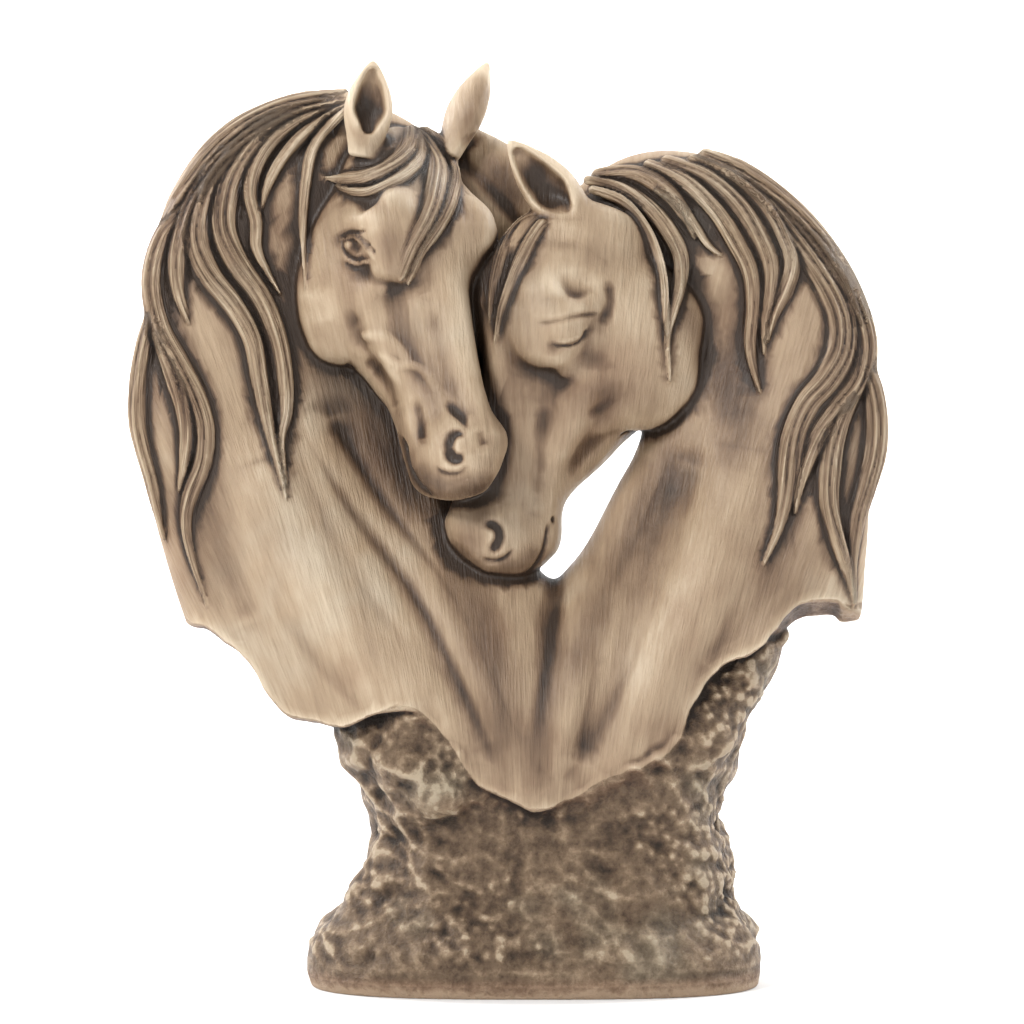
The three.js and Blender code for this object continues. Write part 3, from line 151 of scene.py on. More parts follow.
LEFT_NECK = (
    (440, 135), (400, 106), (345, 86), (290, 92), (242, 114), (215, 142), (195, 174), (166, 214),
    (151, 264), (144, 320), (138, 375), (140, 440), (152, 500), (168, 560), (188, 622), (215, 690),
    (300, 790), (420, 860), (600, 860), (612, 760), (600, 690), (575, 625), (553, 584), (530, 560),
    (500, 520), (490, 450), (500, 380), (516, 300), (524, 250), (520, 206), (490, 166),
)
RIGHT_NECK = (
    (545, 196), (575, 180), (620, 151), (665, 142), (715, 151), (765, 184), (805, 226), (835, 271),
    (856, 326), (867, 372), (873, 420), (871, 465), (867, 505), (863, 560), (852, 640), (800, 760),
    (640, 850), (480, 850), (445, 790), (462, 720), (505, 645), (553, 584), (585, 546), (612, 500),
    (638, 446), (640, 400), (600, 300), (560, 240),
)
LEFT_FACE = (
    (365, 128), (400, 104), (435, 106), (455, 130), (466, 158), (477, 182), (487, 195), (497, 206),
    (503, 222), (503, 236), (497, 246), (486, 256), (480, 275), (480, 300), (483, 330), (487, 355),
    (492, 380), (498, 400), (505, 418), (510, 432), (508, 446), (503, 459), (499, 470), (493, 480),
    (485, 490), (470, 496), (455, 499), (440, 498), (425, 494), (413, 485), (405, 470), (399, 455),
    (395, 440), (391, 424), (384, 408), (372, 394), (360, 382), (349, 374), (338, 367), (320, 361),
    (306, 350), (295, 333), (287, 310), (283, 285), (284, 262), (290, 238), (298, 222), (308, 195),
    (325, 170), (340, 145),
)
RIGHT_FACE = (
    (530, 190), (565, 192), (600, 198), (640, 215), (672, 245), (690, 270), (704, 292), (710, 312),
    (707, 328), (702, 350), (703, 370), (702, 388), (693, 403), (680, 415), (665, 425), (650, 431),
    (637, 437), (620, 452), (605, 466), (590, 476), (577, 486), (566, 500), (562, 515), (562, 535),
    (558, 549), (550, 558), (540, 567), (522, 577), (500, 578), (482, 576), (473, 569), (461, 560),
    (453, 551), (447, 540), (443, 520), (447, 505), (447, 470), (450, 430), (455, 380), (460, 330),
    (466, 280), (480, 240), (500, 210),
)
BREAK_LINE = (
    (120, 600), (165, 612), (190, 622), (205, 625), (225, 640), (245, 656), (262, 682), (280, 708),
    (300, 718), (340, 724), (365, 716), (395, 703), (420, 706), (440, 725), (455, 745), (478, 780),
    (510, 797), (540, 808), (575, 792), (600, 775), (640, 762), (665, 748), (680, 728), (690, 700),
    (720, 668), (755, 650), (772, 630), (797, 604), (835, 598), (850, 604), (910, 596),
)

# Places of the front view with the Y of the front and the back of the neck there
LEFT_NECK_DEPTHS = (
    (395, 235, 3, 46), (350, 290, 6, 44), (430, 330, 6, 44), (400, 120, 8, 36), (300, 130, 0, 30),
    (220, 200, -8, 22), (180, 300, -12, 16), (270, 250, 0, 30), (340, 370, 10, 42), (400, 430, 8, 40),
    (250, 380, -8, 30), (170, 450, -14, 14), (300, 480, -14, 32), (430, 520, 0, 36),
    (220, 560, -18, 18), (350, 600, -28, 34), (480, 600, -22, 36), (260, 650, -26, 24),
    (420, 680, -37, 38), (510, 700, -40, 41), (510, 800, -42, 42),
)
RIGHT_NECK_DEPTHS = (
    (580, 190, 6, 34), (650, 190, -2, 32), (640, 300, 10, 42), (740, 220, -8, 28), (690, 330, 2, 34),
    (820, 300, -14, 18), (660, 430, 4, 38), (720, 450, -10, 32), (860, 430, -14, 14),
    (610, 520, -8, 34), (780, 520, -20, 26), (700, 600, -30, 34), (560, 610, -26, 36),
    (545, 680, -36, 40), (840, 570, -20, 16), (620, 700, -38, 38), (540, 740, -41, 41),
    (730, 680, -30, 30),
)

# Head sections, in lengths of the head: place along it, upper and lower edge, half width at the
# top, middle and bottom
HEAD_SECTIONS = np.array((
    (-0.1, 0, -0.1, 0.05, 0.06, 0.05), (0, 0.085, -0.16, 0.095, 0.1, 0.07),
    (0.08, 0.125, -0.22, 0.12, 0.122, 0.085), (0.16, 0.15, -0.27, 0.135, 0.14, 0.1),
    (0.24, 0.162, -0.312, 0.142, 0.15, 0.108), (0.32, 0.16, -0.33, 0.14, 0.155, 0.108),
    (0.4, 0.145, -0.318, 0.125, 0.15, 0.1), (0.48, 0.128, -0.285, 0.108, 0.138, 0.092),
    (0.56, 0.116, -0.242, 0.095, 0.12, 0.082), (0.64, 0.106, -0.208, 0.085, 0.104, 0.074),
    (0.72, 0.101, -0.192, 0.078, 0.096, 0.068), (0.8, 0.104, -0.192, 0.078, 0.098, 0.07),
    (0.87, 0.112, -0.196, 0.082, 0.104, 0.072), (0.92, 0.1, -0.178, 0.08, 0.098, 0.066),
    (0.97, 0.06, -0.13, 0.062, 0.076, 0.052), (1.02, -0.01, -0.05, 0.03, 0.04, 0.03),
))

# How far a head reaches along its length, its height and its width
HEAD_REACH = ((-0.12, 1.07), (-0.38, 0.26), (-0.27, 0.27))
# The rounded masses of a head: form, 1 to add or -1 to hollow, then its places, sizes and blend
HEAD_MASSES = (
    ("egg", 1, (0.3, -0.185, 0.105), (0.21, 0.25, 0.098), 7),
    ("egg", 1, (0.3, 0.095, 0.098), (0.125, 0.06, 0.068), 10),
    ("rod", 1, (0.27, 0.13, 0.12), (0.4, 0.095, 0.128), 0.026, 0.018, 9),
    ("egg", -1, (0.2, 0.105, 0.165), (0.05, 0.035, 0.03), 8),
    ("rod", 1, (0.44, 0, 0.128), (0.62, -0.015, 0.088), 0.022, 0.014, 9),
    ("egg", -1, (0.62, 0.05, 0.132), (0.13, 0.03, 0.03), 8),
    ("egg", -1, (0.66, -0.1, 0.125), (0.09, 0.035, 0.035), 8),
    ("egg", 1, (0.885, 0.035, 0.052), (0.08, 0.062, 0.05), 7),
    ("egg", 1, (0.945, -0.02, 0), (0.06, 0.075, 0.08), 6),
    ("egg", 1, (0.89, -0.125, 0), (0.07, 0.055, 0.062), 6),
    ("rod", -1, (0.2, -0.36, 0), (0.7, -0.26, 0), 0.03, 0.02, 5),
)

# The eye and the nostril on the side of a head that is turned away
FAR_MASSES = (
    ("egg", -1, (0.35, 0.07, 0.175), (0.05, 0.03, 0.024), 2),
    ("egg", 1, (0.35, 0.07, 0.142), (0.04, 0.03, 0.028), 1),
    ("rod", -1, (0.86, 0.06, 0.105), (0.895, 0.04, 0.11), 0.01, 0.018, 2),
)

# Where each head sits: poll, then the axes along the nose, up through the forehead and to the side
LEFT_HEAD = ((-51.2, 15, 327.5), (39.3, -46, -141.6), (95.3, -100, 75.3), (-139.4, -82, -4.2))
RIGHT_HEAD = ((32.2, 2, 301.3), (-43.9, -8, -145.3), (-146, -90, 51.7), (115.6, -105, -28.4))

# Ears: base and tip in the front view, Y of each, direction of the opening, half width
EARS = (
    ((366, 134), (374, 55), -5, -8, (0.25, -0.9, 0.1), 9.5),
    ((455, 134), (488, 57), 12, 16, (0.9, 0.5, 0), 10.5),
    ((575, 216), (507, 136), -6, -12, (-0.45, -0.85, 0.25), 10.3),
    ((540, 215), (452, 118), 22, 20, (-0.2, 0.9, 0.3), 12),
)
EAR_SPAN = (-0.25, 0, 0.2, 0.38, 0.6, 0.8, 0.92, 1)
EAR_WIDE = (0.62, 0.78, 0.95, 1, 0.84, 0.52, 0.27, 0.05)

# Guide lines of the locks of hair, each with its half width in millimetres
LEFT_MANE = (
    ((
      (156, 306), (146, 345), (141, 380), (141, 420), (147, 450), (156, 484), (162, 515), (168, 540),
    ), 3.9),
    (((346, 92), (300, 98), (256, 116), (218, 144), (190, 180), (170, 216), (156, 250)), 6.6),
    ((
      (350, 96), (304, 104), (262, 124), (228, 152), (204, 184), (188, 220), (180, 258), (182, 292),
      (192, 322),
    ), 5.8),
    (((158, 316), (168, 345), (178, 372), (188, 402), (192, 432), (189, 462), (184, 490)), 4.3),
    ((
      (196, 196), (172, 220), (158, 250), (154, 285), (163, 325), (182, 362), (199, 395), (209, 428),
      (207, 462), (195, 495), (191, 525), (198, 560), (213, 604),
    ), 4.7),
    ((
      (320, 98), (276, 112), (240, 138), (216, 170), (203, 205), (200, 240), (212, 272), (236, 304),
      (254, 338), (262, 380), (270, 420), (280, 458), (291, 498),
    ), 5),
    ((
      (340, 96), (296, 108), (262, 132), (240, 162), (228, 195), (226, 228), (240, 262), (264, 298),
      (279, 336), (286, 376), (288, 410), (284, 440), (290, 485),
    ), 5),
    ((
      (346, 98), (306, 112), (276, 134), (258, 162), (252, 190), (258, 220), (258, 245), (268, 268),
      (282, 292),
    ), 3.1),
    (((350, 102), (324, 114), (300, 134), (280, 160), (268, 186), (262, 212)), 2.7),
)
RIGHT_MANE = (
    (((858, 356), (869, 388), (873, 422), (870, 455), (861, 488), (851, 522), (847, 560), (850, 602)), 5),
    ((
      (852, 385), (838, 410), (828, 440), (823, 475), (823, 505), (831, 540), (843, 575), (849, 604),
    ), 4.7),
    ((
      (700, 150), (742, 170), (780, 200), (812, 236), (838, 274), (856, 315), (866, 352), (872, 385),
    ), 6.6),
    ((
      (770, 196), (806, 228), (836, 268), (854, 308), (862, 345), (852, 380), (832, 406), (814, 432),
      (802, 460), (794, 485), (789, 512),
    ), 5),
    ((
      (724, 166), (764, 198), (796, 236), (822, 276), (838, 314), (838, 350), (824, 380), (804, 404),
      (790, 434), (784, 465), (780, 495), (772, 528), (757, 562),
    ), 6.6),
    ((
      (690, 154), (730, 172), (762, 202), (780, 236), (788, 262), (782, 288), (772, 312), (764, 340),
    ), 4.3),
    ((
      (664, 154), (704, 172), (736, 202), (757, 236), (768, 264), (768, 292), (762, 320), (761, 352),
    ), 4.3),
    ((
      (646, 158), (684, 178), (714, 208), (734, 240), (748, 270), (751, 305), (748, 340), (751, 368),
      (757, 392),
    ), 3.9),
    (((655, 186), (678, 202), (694, 224), (706, 242), (720, 254)), 1.9),
    (((594, 168), (634, 168), (664, 186), (684, 212), (693, 236)), 3.9),
    ((
      (586, 174), (618, 182), (646, 202), (668, 228), (680, 254), (677, 285), (669, 312), (664, 338),
      (668, 380),
    ), 3.5),
    (((590, 184), (622, 198), (644, 226), (656, 256), (661, 286), (662, 316), (665, 350)), 2.3),
)
FORELOCKS = (
    (((408, 112), (426, 130), (438, 158), (436, 190), (428, 218), (414, 246), (402, 278)), 5),
    (((420, 112), (442, 134), (453, 164), (450, 196), (438, 224), (422, 250), (408, 284)), 3.1),
    (((410, 114), (408, 140), (390, 160), (364, 170), (340, 170), (322, 168)), 4.3),
    (((418, 120), (418, 150), (398, 174), (372, 186), (350, 184), (332, 176)), 2.7),
    (((536, 208), (518, 218), (504, 242), (495, 276), (489, 316)), 3.9),
    (((542, 216), (528, 240), (514, 272), (502, 306), (494, 340)), 3.1),
    (((345, 100), (324, 116), (309, 140), (303, 172), (300, 208), (301, 240), (304, 284)), 2.3),
)

# Muscles and hollows of the necks: guide line, half width and height in millimetres
NECK_SWELLS = (
    (((320, 400), (350, 480), (420, 600), (505, 770)), 12, -2.6),
    (((250, 440), (285, 540), (350, 640), (455, 740)), 17, 3),
    (((300, 400), (360, 500), (440, 610), (520, 780)), 7, 2),
    (((190, 420), (215, 540), (250, 640)), 12, -1.6),
    (((655, 440), (610, 540), (575, 640), (552, 780)), 10, 2.6),
    (((700, 440), (655, 560), (608, 690), (575, 780)), 11, -2.6),
    (((745, 420), (715, 550), (655, 700), (600, 790)), 15, 3),
    (((800, 480), (770, 580), (700, 690)), 12, -1.8),
)
FACE_SWELLS = (
    (((334, 218), (348, 211), (364, 212), (380, 222)), 8, 1.2),
    (((354, 243),), 9, 0.9),
    (((330, 262), (322, 290), (325, 325)), 16, 0.8),
    (((380, 304), (360, 310), (346, 326), (345, 348)), 9, -0.35),
    (((425, 290), (440, 350), (455, 392), (468, 424)), 7, -1.1),
    (((416, 400), (420, 420), (424, 442)), 4, -0.9),
    (((350, 322), (372, 332), (396, 350), (410, 368)), 6, 0.35),
    (((300, 338), (320, 352), (342, 352), (358, 344)), 8, 0.4),
    (((366, 362), (386, 382), (398, 408)), 7, -0.7),
    (((340, 356), (350, 368)), 4, -0.6),
    (((479, 428), (485, 446)), 4, -0.5),
    (((566, 330),), 15, 1.6),
    (((536, 304), (556, 312), (580, 305), (600, 297)), 6, 0.8),
    (((545, 272), (566, 280), (590, 268)), 15, 0.3),
    (((608, 278), (611, 296), (604, 318)), 4, -0.7),
    (((550, 360), (572, 362), (592, 348), (602, 328)), 5, 0.4),
    (((556, 402), (580, 394), (604, 386), (626, 368)), 7, 0.7),
    (((650, 350),), 24, 0.9),
    (((543, 405), (541, 460), (538, 500)), 6, -0.5),
    (((525, 400), (521, 460), (516, 512)), 8, 0.7),
    (((642, 424), (612, 436), (590, 456), (568, 482)), 6, -0.5),
    (((606, 376), (600, 392), (586, 403), (566, 406)), 7, -0.3),
    (((692, 404), (676, 418), (660, 426)), 4, -0.5),
)

# Painted washes, with painted shade, painted shadows and painted highlights among them: guide line, half
# width in millimetres and how dark, below 0 for paler paint
WASHES_AND_PAINTED_LIGHT = (
    (((372, 200),), 7, 0.3),
    (((392, 225), (390, 260), (388, 290)), 7, 0.22),
    (((400, 310), (415, 350), (440, 400)), 9, 0.14),
    # the next three: paler paint on the left cheek and down the nose, painted highlights
    (((300, 250), (305, 300)), 8, -0.12),
    (((320, 280), (330, 320)), 12, -0.14),
    (((455, 260), (462, 310), (480, 370)), 8, -0.14),
    (((420, 472), (450, 488), (488, 484)), 8, 0.34),
    # painted shade under the left jaw
    (((325, 370), (360, 420), (400, 470), (430, 520)), 16, 0.42),
    (((440, 520), (470, 590), (495, 680), (508, 780)), 13, 0.3),
    (((552, 600), (545, 700), (535, 790)), 8, 0.22),
    (((290, 560), (340, 650), (390, 690)), 18, -0.1),
    (((200, 480), (210, 540), (212, 600)), 14, 0.16),
    # paler paint above the right eye, taking back some of the painted shade of that hollow
    (((552, 276), (575, 281), (592, 281)), 9, -0.34),
    (((552, 346),), 4, 0.35),
    (((560, 385), (590, 390), (625, 392)), 9, 0.2),
    (((505, 380), (510, 430), (515, 500)), 12, 0.12),
    (((480, 480), (475, 520), (470, 550)), 10, 0.16),
    (((545, 548), (520, 568), (482, 566)), 8, 0.36),
    (((690, 430), (650, 500), (600, 600), (560, 700)), 12, 0.28),
    # painted shade behind the right mane
    (((745, 330), (742, 400), (735, 460)), 13, 0.26),
    (((700, 520), (660, 600), (620, 690)), 16, -0.1),
    (((800, 520), (790, 580), (780, 620)), 14, 0.14),
    (((340, 233), (350, 231), (362, 237), (371, 252)), 1.5, 0.6),
    (((342, 238), (350, 252), (362, 255), (371, 253)), 1.5, 0.4),
    (((350, 241), (361, 249)), 3.6, 0.55),
    (((344, 257), (356, 264), (370, 261)), 2, 0.25),
    (((464, 432), (452, 435), (449, 446), (453, 457), (461, 455)), 3, 0.6),
    (((397, 431), (406, 447), (411, 466), (422, 484), (440, 498)), 1.6, 0.45),
    (((486, 523), (497, 527), (499, 540), (490, 551)), 3, 0.6),
    (((555, 517), (548, 530), (544, 549), (534, 566), (514, 577)), 1.2, 0.35),
    (((550, 343), (565, 344), (582, 336), (594, 320)), 1.6, 0.45),
    # painted shadow of the left muzzle on the right head
    (((488, 480), (485, 500), (484, 515)), 7, 0.3),
    (((690, 290), (705, 340), (735, 420)), 10, 0.25),
    (((520, 250), (515, 330), (532, 420)), 15, 0.14),
    (((620, 290), (660, 330), (680, 380)), 14, -0.1),
    (((489, 68), (478, 92), (462, 120)), 10, 0.26),
    (((366, 90), (366, 112), (364, 126)), 4.5, 0.4),
    (((528, 160), (545, 185), (556, 205)), 5.5, 0.4),
    (((490, 150), (505, 175), (515, 190)), 10, 0.45),
    (((496, 240), (492, 280), (498, 330)), 5, 0.35),
    (((470, 120), (474, 130)), 6, 0.3),
)

# Colours of the paint, from dark to light
HORSE_COLOURS = (
    (0.0, (0.026, 0.014, 0.007)), (0.22, (0.082, 0.047, 0.026)), (0.45, (0.185, 0.119, 0.071)),
    (0.7, (0.330, 0.238, 0.152)), (1.0, (0.540, 0.430, 0.305)),
)
COOL_COLOURS = ((0.0, (0.030, 0.027, 0.021)), (0.45, (0.165, 0.143, 0.108)), (1.0, (0.500, 0.450, 0.360)))
STONE_COLOURS = (
    (0.0, (0.024, 0.014, 0.008)), (0.3, (0.092, 0.056, 0.032)), (0.6, (0.195, 0.128, 0.076)),
    (0.85, (0.345, 0.245, 0.155)), (1.0, (0.520, 0.405, 0.280)),
)
MOSS_COLOURS = ((0.0, (0.022, 0.019, 0.013)), (0.5, (0.135, 0.117, 0.080)), (1.0, (0.380, 0.335, 0.240)))
RED_COLOURS = ((0.0, (0.028, 0.013, 0.007)), (0.5, (0.160, 0.084, 0.046)), (1.0, (0.400, 0.262, 0.165)))

# Eyes, nostrils, mouths and veins: guide line, half width, height and blend in millimetres
FACE_FORMS = (
    (((350, 240), (359, 247)), 3.2, 1.3, 0.6),
    (((341, 234), (347, 232), (354, 234), (361, 239), (366, 246), (370, 253)), 0.55, -0.8, 0.3),
    ((
      (341, 235), (341, 240), (344, 246), (349, 251), (356, 254), (363, 254), (370, 253),
    ), 0.55, -0.8, 0.3),
    (((338, 233), (345, 229), (353, 230), (360, 235), (366, 243), (371, 250), (377, 258)), 0.9, 0.6, 0.7),
    (((343, 250), (348, 255), (355, 258), (363, 257), (370, 257)), 0.7, 0.4, 0.7),
    (((338, 231), (343, 228), (352, 226), (361, 226), (370, 229)), 0.5, -0.6, 0.4),
    (((363, 232), (369, 240), (373, 246), (376, 250)), 0.5, -0.4, 0.4),
    (((344, 255), (350, 260), (358, 262), (366, 260)), 0.5, -0.4, 0.5),
    (((366, 330), (381, 332), (394, 341), (403, 352), (408, 362)), 0.9, 0.2, 1.6),
    (((381, 350), (398, 362), (408, 361), (420, 365), (430, 375), (436, 388)), 0.8, 0.25, 1.4),
    (((449, 447), (451, 455), (456, 458), (461, 454)), 2.8, -3.8, 1.2),
    (((465, 432), (458, 431), (452, 435), (449, 442), (449, 450)), 2.2, -4.4, 0.9),
    (((459, 437), (460, 446)), 1.6, 0.9, 0.9),
    (((436, 466), (443, 471), (452, 473), (461, 471), (468, 466)), 0.9, -0.6, 1.2),
    (((447, 400), (455, 408), (462, 415), (467, 424)), 0.9, -0.25, 1.6),
    ((
      (397, 431), (402, 436), (406, 445), (408, 456), (411, 466), (416, 476), (422, 484), (430, 491),
      (440, 498),
    ), 0.9, -1.6, 0.6),
    (((398, 432),), 1.3, -1.6, 0.8),
    (((506, 437),), 1.2, -1, 1),
    (((491, 473), (496, 475)), 0.9, -0.9, 0.8),
    (((346, 360), (352, 370)), 1.4, -0.6, 1.5),
    (((550, 342), (560, 343), (572, 342), (580, 337), (586, 328), (593, 320)), 0.6, -0.9, 0.4),
    (((550, 345), (556, 348)), 1, -0.8, 0.8),
    (((552, 338), (562, 339), (573, 337), (580, 331)), 0.8, 0.4, 0.8),
    (((538, 321), (556, 319), (575, 314), (598, 309)), 0.9, -0.4, 1.2),
    (((486, 550), (495, 547), (500, 537), (498, 527), (491, 522), (485, 524)), 2.5, -4.6, 0.8),
    (((486, 530), (487, 538)), 1.6, 0.9, 0.9),
    (((482, 557), (489, 560), (498, 560), (507, 556), (513, 549)), 0.9, -0.6, 1.2),
    ((
      (555, 517), (550, 521), (548, 529), (546, 539), (544, 549), (540, 558), (534, 566), (526, 573),
      (514, 577),
    ), 0.9, -1.6, 0.6),
    (((554, 518),), 1.3, -1.6, 0.8),
    (((623, 431), (632, 427), (642, 431)), 0.8, -0.6, 1.2),
)


def from_picture(places, y=0.0):
    """X and Z of places of the front view, at depth y."""
    p = np.array(places, float)
    scale = PIXELS_PER_MM * VIEW_DISTANCE / (VIEW_DISTANCE + y)
    x = VIEW_X + (p[:, 0] - PICTURE_MIDDLE) / scale
    z = VIEW_Z - (p[:, 1] - PICTURE_MIDDLE) / scale
    return np.stack([x, z], 1)


def smooth_min(a, b, k):
    """The smaller of two values, blended over k where they are close."""
    h = np.clip(0.5 + 0.5 * (b - a) / k, 0, 1)
    return b * (1 - h) + a * h - k * h * (1 - h)


def smooth_max(a, b, k):
    return -smooth_min(-a, -b, k)


def ramp(v, a, b):
    """A soft step from 0 where v is a to 1 where it is b."""
    t = np.clip((v - a) / (b - a), 0, 1)
    return t * t * (3 - 2 * t)


def scatter(i, j, k, n):
    """A repeatable scattered value between 0 and 1 for a cell of space."""
    v = np.sin(i * 127.1 + j * 311.7 + k * 74.7 + n * 53.3) * 43758.5453
    return v - np.floor(v)


def seeds(x, y, z, size):
    """The distance to the nearest of scattered points, in cells of that size."""
    x, y, z = (v.astype(np.float32) for v in np.broadcast_arrays(x / size, y / size, z / size))
    base = np.floor(x), np.floor(y), np.floor(z)
    nearest = np.full(x.shape, 9.0, np.float32)
    for step in np.ndindex(3, 3, 3):
        cell = [b + s - 1 for b, s in zip(base, step)]
        away = [c + scatter(*cell, n) - v for n, (c, v) in enumerate(zip(cell, (x, y, z)))]
        nearest = np.minimum(nearest, sum(d * d for d in away))
    return np.sqrt(nearest)


def curve(points, per, closed=False):
    """A smooth line through points, with per places from each point to the next."""
    p = np.array(points, float)
    n = len(p)
    last = n if closed else n - 1
    at = (lambda i: p[i % n]) if closed else (lambda i: p[min(max(i, 0), n - 1)])
    out = []
    for i in range(last):
        a, b, c, d = at(i - 1), at(i), at(i + 1), at(i + 2)
        for t in np.arange(per) / per:
            lower = 2 * b + (c - a) * t + (2 * a - 5 * b + 4 * c - d) * t ** 2
            out.append(0.5 * (lower + (3 * b - a - 3 * c + d) * t ** 3))
    if not closed:
        out.append(p[-1])
    return np.array(out)


class Clay:
    """The sculpture while it is being modelled: distances to its surface on a regular grid."""

    def __init__(self, step):
        self.step = step
        self.low = np.array(LOW)
        self.count = np.ceil((np.array(HIGH) - self.low) / step).astype(int) + 1
        self.axis = [(self.low[i] + step * np.arange(self.count[i])).astype(np.float32) for i in range(3)]
        self.value = np.full(self.count, EMPTY, np.float32)
        # distance to the nearest lock of hair, and the place across and along it
        self.hair = np.full(self.count, NO_HAIR, np.float32)
        self.across = np.zeros(self.count, np.float32)
        self.along = np.zeros(self.count, np.float32)

    def window(self, low, high):
        """The part of the grid in a box, and its places along X, Y and Z."""
        cut = []
        for i in range(3):
            a = max(0, int((low[i] - self.low[i]) / self.step))
            b = min(self.count[i], int((high[i] - self.low[i]) / self.step) + 2)
            cut.append(slice(a, max(a + 2, b)))
        x, y, z = (self.axis[i][cut[i]] for i in range(3))
        return tuple(cut), x[:, None, None], y[None, :, None], z[None, None, :]

    def add(self, cut, distance, blend):
        self.value[cut] = smooth_min(self.value[cut], distance, blend).astype(np.float32)

    def cut(self, cut, distance, blend):
        self.value[cut] = smooth_max(self.value[cut], -distance, blend).astype(np.float32)

    def sample(self, grid, p):
        """Values of one of the grids at points (n, 3)."""
        q = np.clip((p - self.low) / self.step, 0, self.count - 1.001)
        i = q.astype(int)
        f = q - i
        out = np.zeros(len(p))
        for c in np.ndindex(2, 2, 2):
            w = np.prod(np.where(c, f, 1 - f), axis=1)
            out += w * grid[i[:, 0] + c[0], i[:, 1] + c[1], i[:, 2] + c[2]]
        return out


def outline_distance(line, x, z):
    """Distance to a closed line of the front plane over a grid, negative inside."""
    px, pz = np.meshgrid(x, z, indexing="ij")
    best = np.full(px.shape, 1e9)
    inside = np.zeros(px.shape, bool)
    for (x0, z0), (x1, z1) in zip(line, np.roll(line, -1, 0)):
        ex, ez = x1 - x0, z1 - z0
        t = np.clip(((px - x0) * ex + (pz - z0) * ez) / max(ex * ex + ez * ez, 1e-9), 0, 1)
        best = np.minimum(best, (px - x0 - t * ex) ** 2 + (pz - z0 - t * ez) ** 2)
        if ez != 0:
            inside ^= ((z0 <= pz) != (z1 <= pz)) & (px < x0 + (pz - z0) / ez * ex)
    return (np.sqrt(best) * np.where(inside, -1, 1)).astype(np.float32)


def neck(clay, places, samples):
    """A neck: its outline in the front plane, as deep as the samples say, rounded towards its edge."""
    line = curve(from_picture(places), 6, True)
    low, high = line.min(0) - 14, line.max(0) + 14
    cut, x, y, z = clay.window((low[0], LOW[1], low[1]), (high[0], HIGH[1], high[1]))
    flat = outline_distance(line, x.ravel(), z.ravel())
    px, pz = np.broadcast_arrays(x[:, 0, :], z[:, 0, :])
    s = np.array(samples, float)
    total, front, back = (np.full(px.shape, 1e-9) for _ in range(3))
    for (ax, az), (_, _, f, b) in zip(from_picture(s[:, :2]), s):
        w = np.exp(-((px - ax) ** 2 + (pz - az) ** 2) / (2 * DEPTH_REACH ** 2)) + 1e-9
        total, front, back = total + w, front + w * f, back + w * b
    front, back = front / total, back / total
    half = ((back - front) / 2)[:, None, :]
    q1 = np.maximum((flat + NECK_EDGE) / NECK_EDGE, 0)[:, None, :]
    q2 = (y - ((front + back) / 2)[:, None, :]) / half
    r = np.maximum(np.hypot(q1, q2), 1e-3)
    slope = np.hypot(q1 / r / NECK_EDGE, np.abs(q2) / r / half)
    clay.add(cut, np.clip((r - 1) / np.maximum(slope, 1 / 60), -40, 40), NECK_BLEND)


def break_necks(clay):
    """Ends the necks in a broken edge that slopes back under them.

    Gives the distance above that edge, over the front plane.
    """
    corners = [(170, -60), (-170, -60)]
    line = np.vstack([curve(from_picture(BREAK_LINE, EDGE_Y), 4), corners])
    below = outline_distance(line, clay.axis[0], clay.axis[2])
    nx, _, nz = clay.count
    i, k = np.arange(nx)[:, None], np.arange(nz)[None, :]
    x = clay.axis[0][:, None]
    # the broken edge is ragged
    chips = EDGE_CHIP[1] * (seeds(x, 0.0 * x, clay.axis[2][None, :], EDGE_CHIP[0]) - 0.5)
    for j, y in enumerate(clay.axis[1]):
        bevel = (3 + 5 * ramp(x, -60, 80)) * ramp(20 - abs(y), 0, 25) / clay.step
        at = np.clip(k + bevel, 0, nz - 1)
        k0 = np.floor(at).astype(int)
        k1 = np.minimum(k0 + 1, nz - 1)
        edge = below[i, k0] * (1 - (at - k0)) + below[i, k1] * (at - k0)
        clay.value[:, j, :] = smooth_max(clay.value[:, j, :], -(edge + chips), 1.2)
    return below


def stand(clay, above_break):
    """The rough stand, with shoulders of rock under the necks.

    It steps back behind the necks above their broken edge.
    """
    cut, x, y, z = clay.window((-92, LOW[1], LOW[2]), (122, HIGH[1], STAND_TOP + 22))
    across = [np.interp(z, STAND_SECTIONS[:, 0], STAND_SECTIONS[:, column]) for column in (1, 2)]
    left, right = (VIEW_X + (pixels - PICTURE_MIDDLE) * MM_PER_PIXEL for pixels in across)
    deep = np.interp(z, STAND_SECTIONS[:, 0], STAND_SECTIONS[:, 3])
    wide = (right - left) / 2
    n = STAND_SQUARENESS
    r = (np.abs((x - (left + right) / 2) / wide) ** n + np.abs(y / deep) ** n) ** (1 / n)
    body = smooth_max((r - 1) * np.minimum(wide, deep), z - STAND_TOP, 6.0)
    rods = [pair for chain in SHOULDERS for pair in zip(chain, chain[1:])]
    for (place, depth, radius), (place2, depth2, radius2) in rods:
        (ax, az), (bx, bz) = from_picture((place, place2))
        a, e = (ax, depth, az), (bx - ax, depth2 - depth, bz - az)
        q = (x - a[0], y - a[1], z - a[2])
        h = np.clip(sum(q[i] * e[i] for i in range(3)) / sum(v * v for v in e), 0, 1)
        # deeper than it is wide
        away = (q[0] - h * e[0], (q[1] - h * e[1]) / SHOULDER_DEPTH, q[2] - h * e[2])
        shoulder = np.sqrt(sum(v * v for v in away)) - (radius + (radius2 - radius) * h)
        body = smooth_min(body, shoulder, SHOULDER_BLEND)
    behind = STAND_STEP_BACK * ramp(above_break[cut[0], cut[2]], 0, 7)[:, None, :]
    clay.add(cut, body - stone_relief(body, x, y, z) + behind, 1.0)


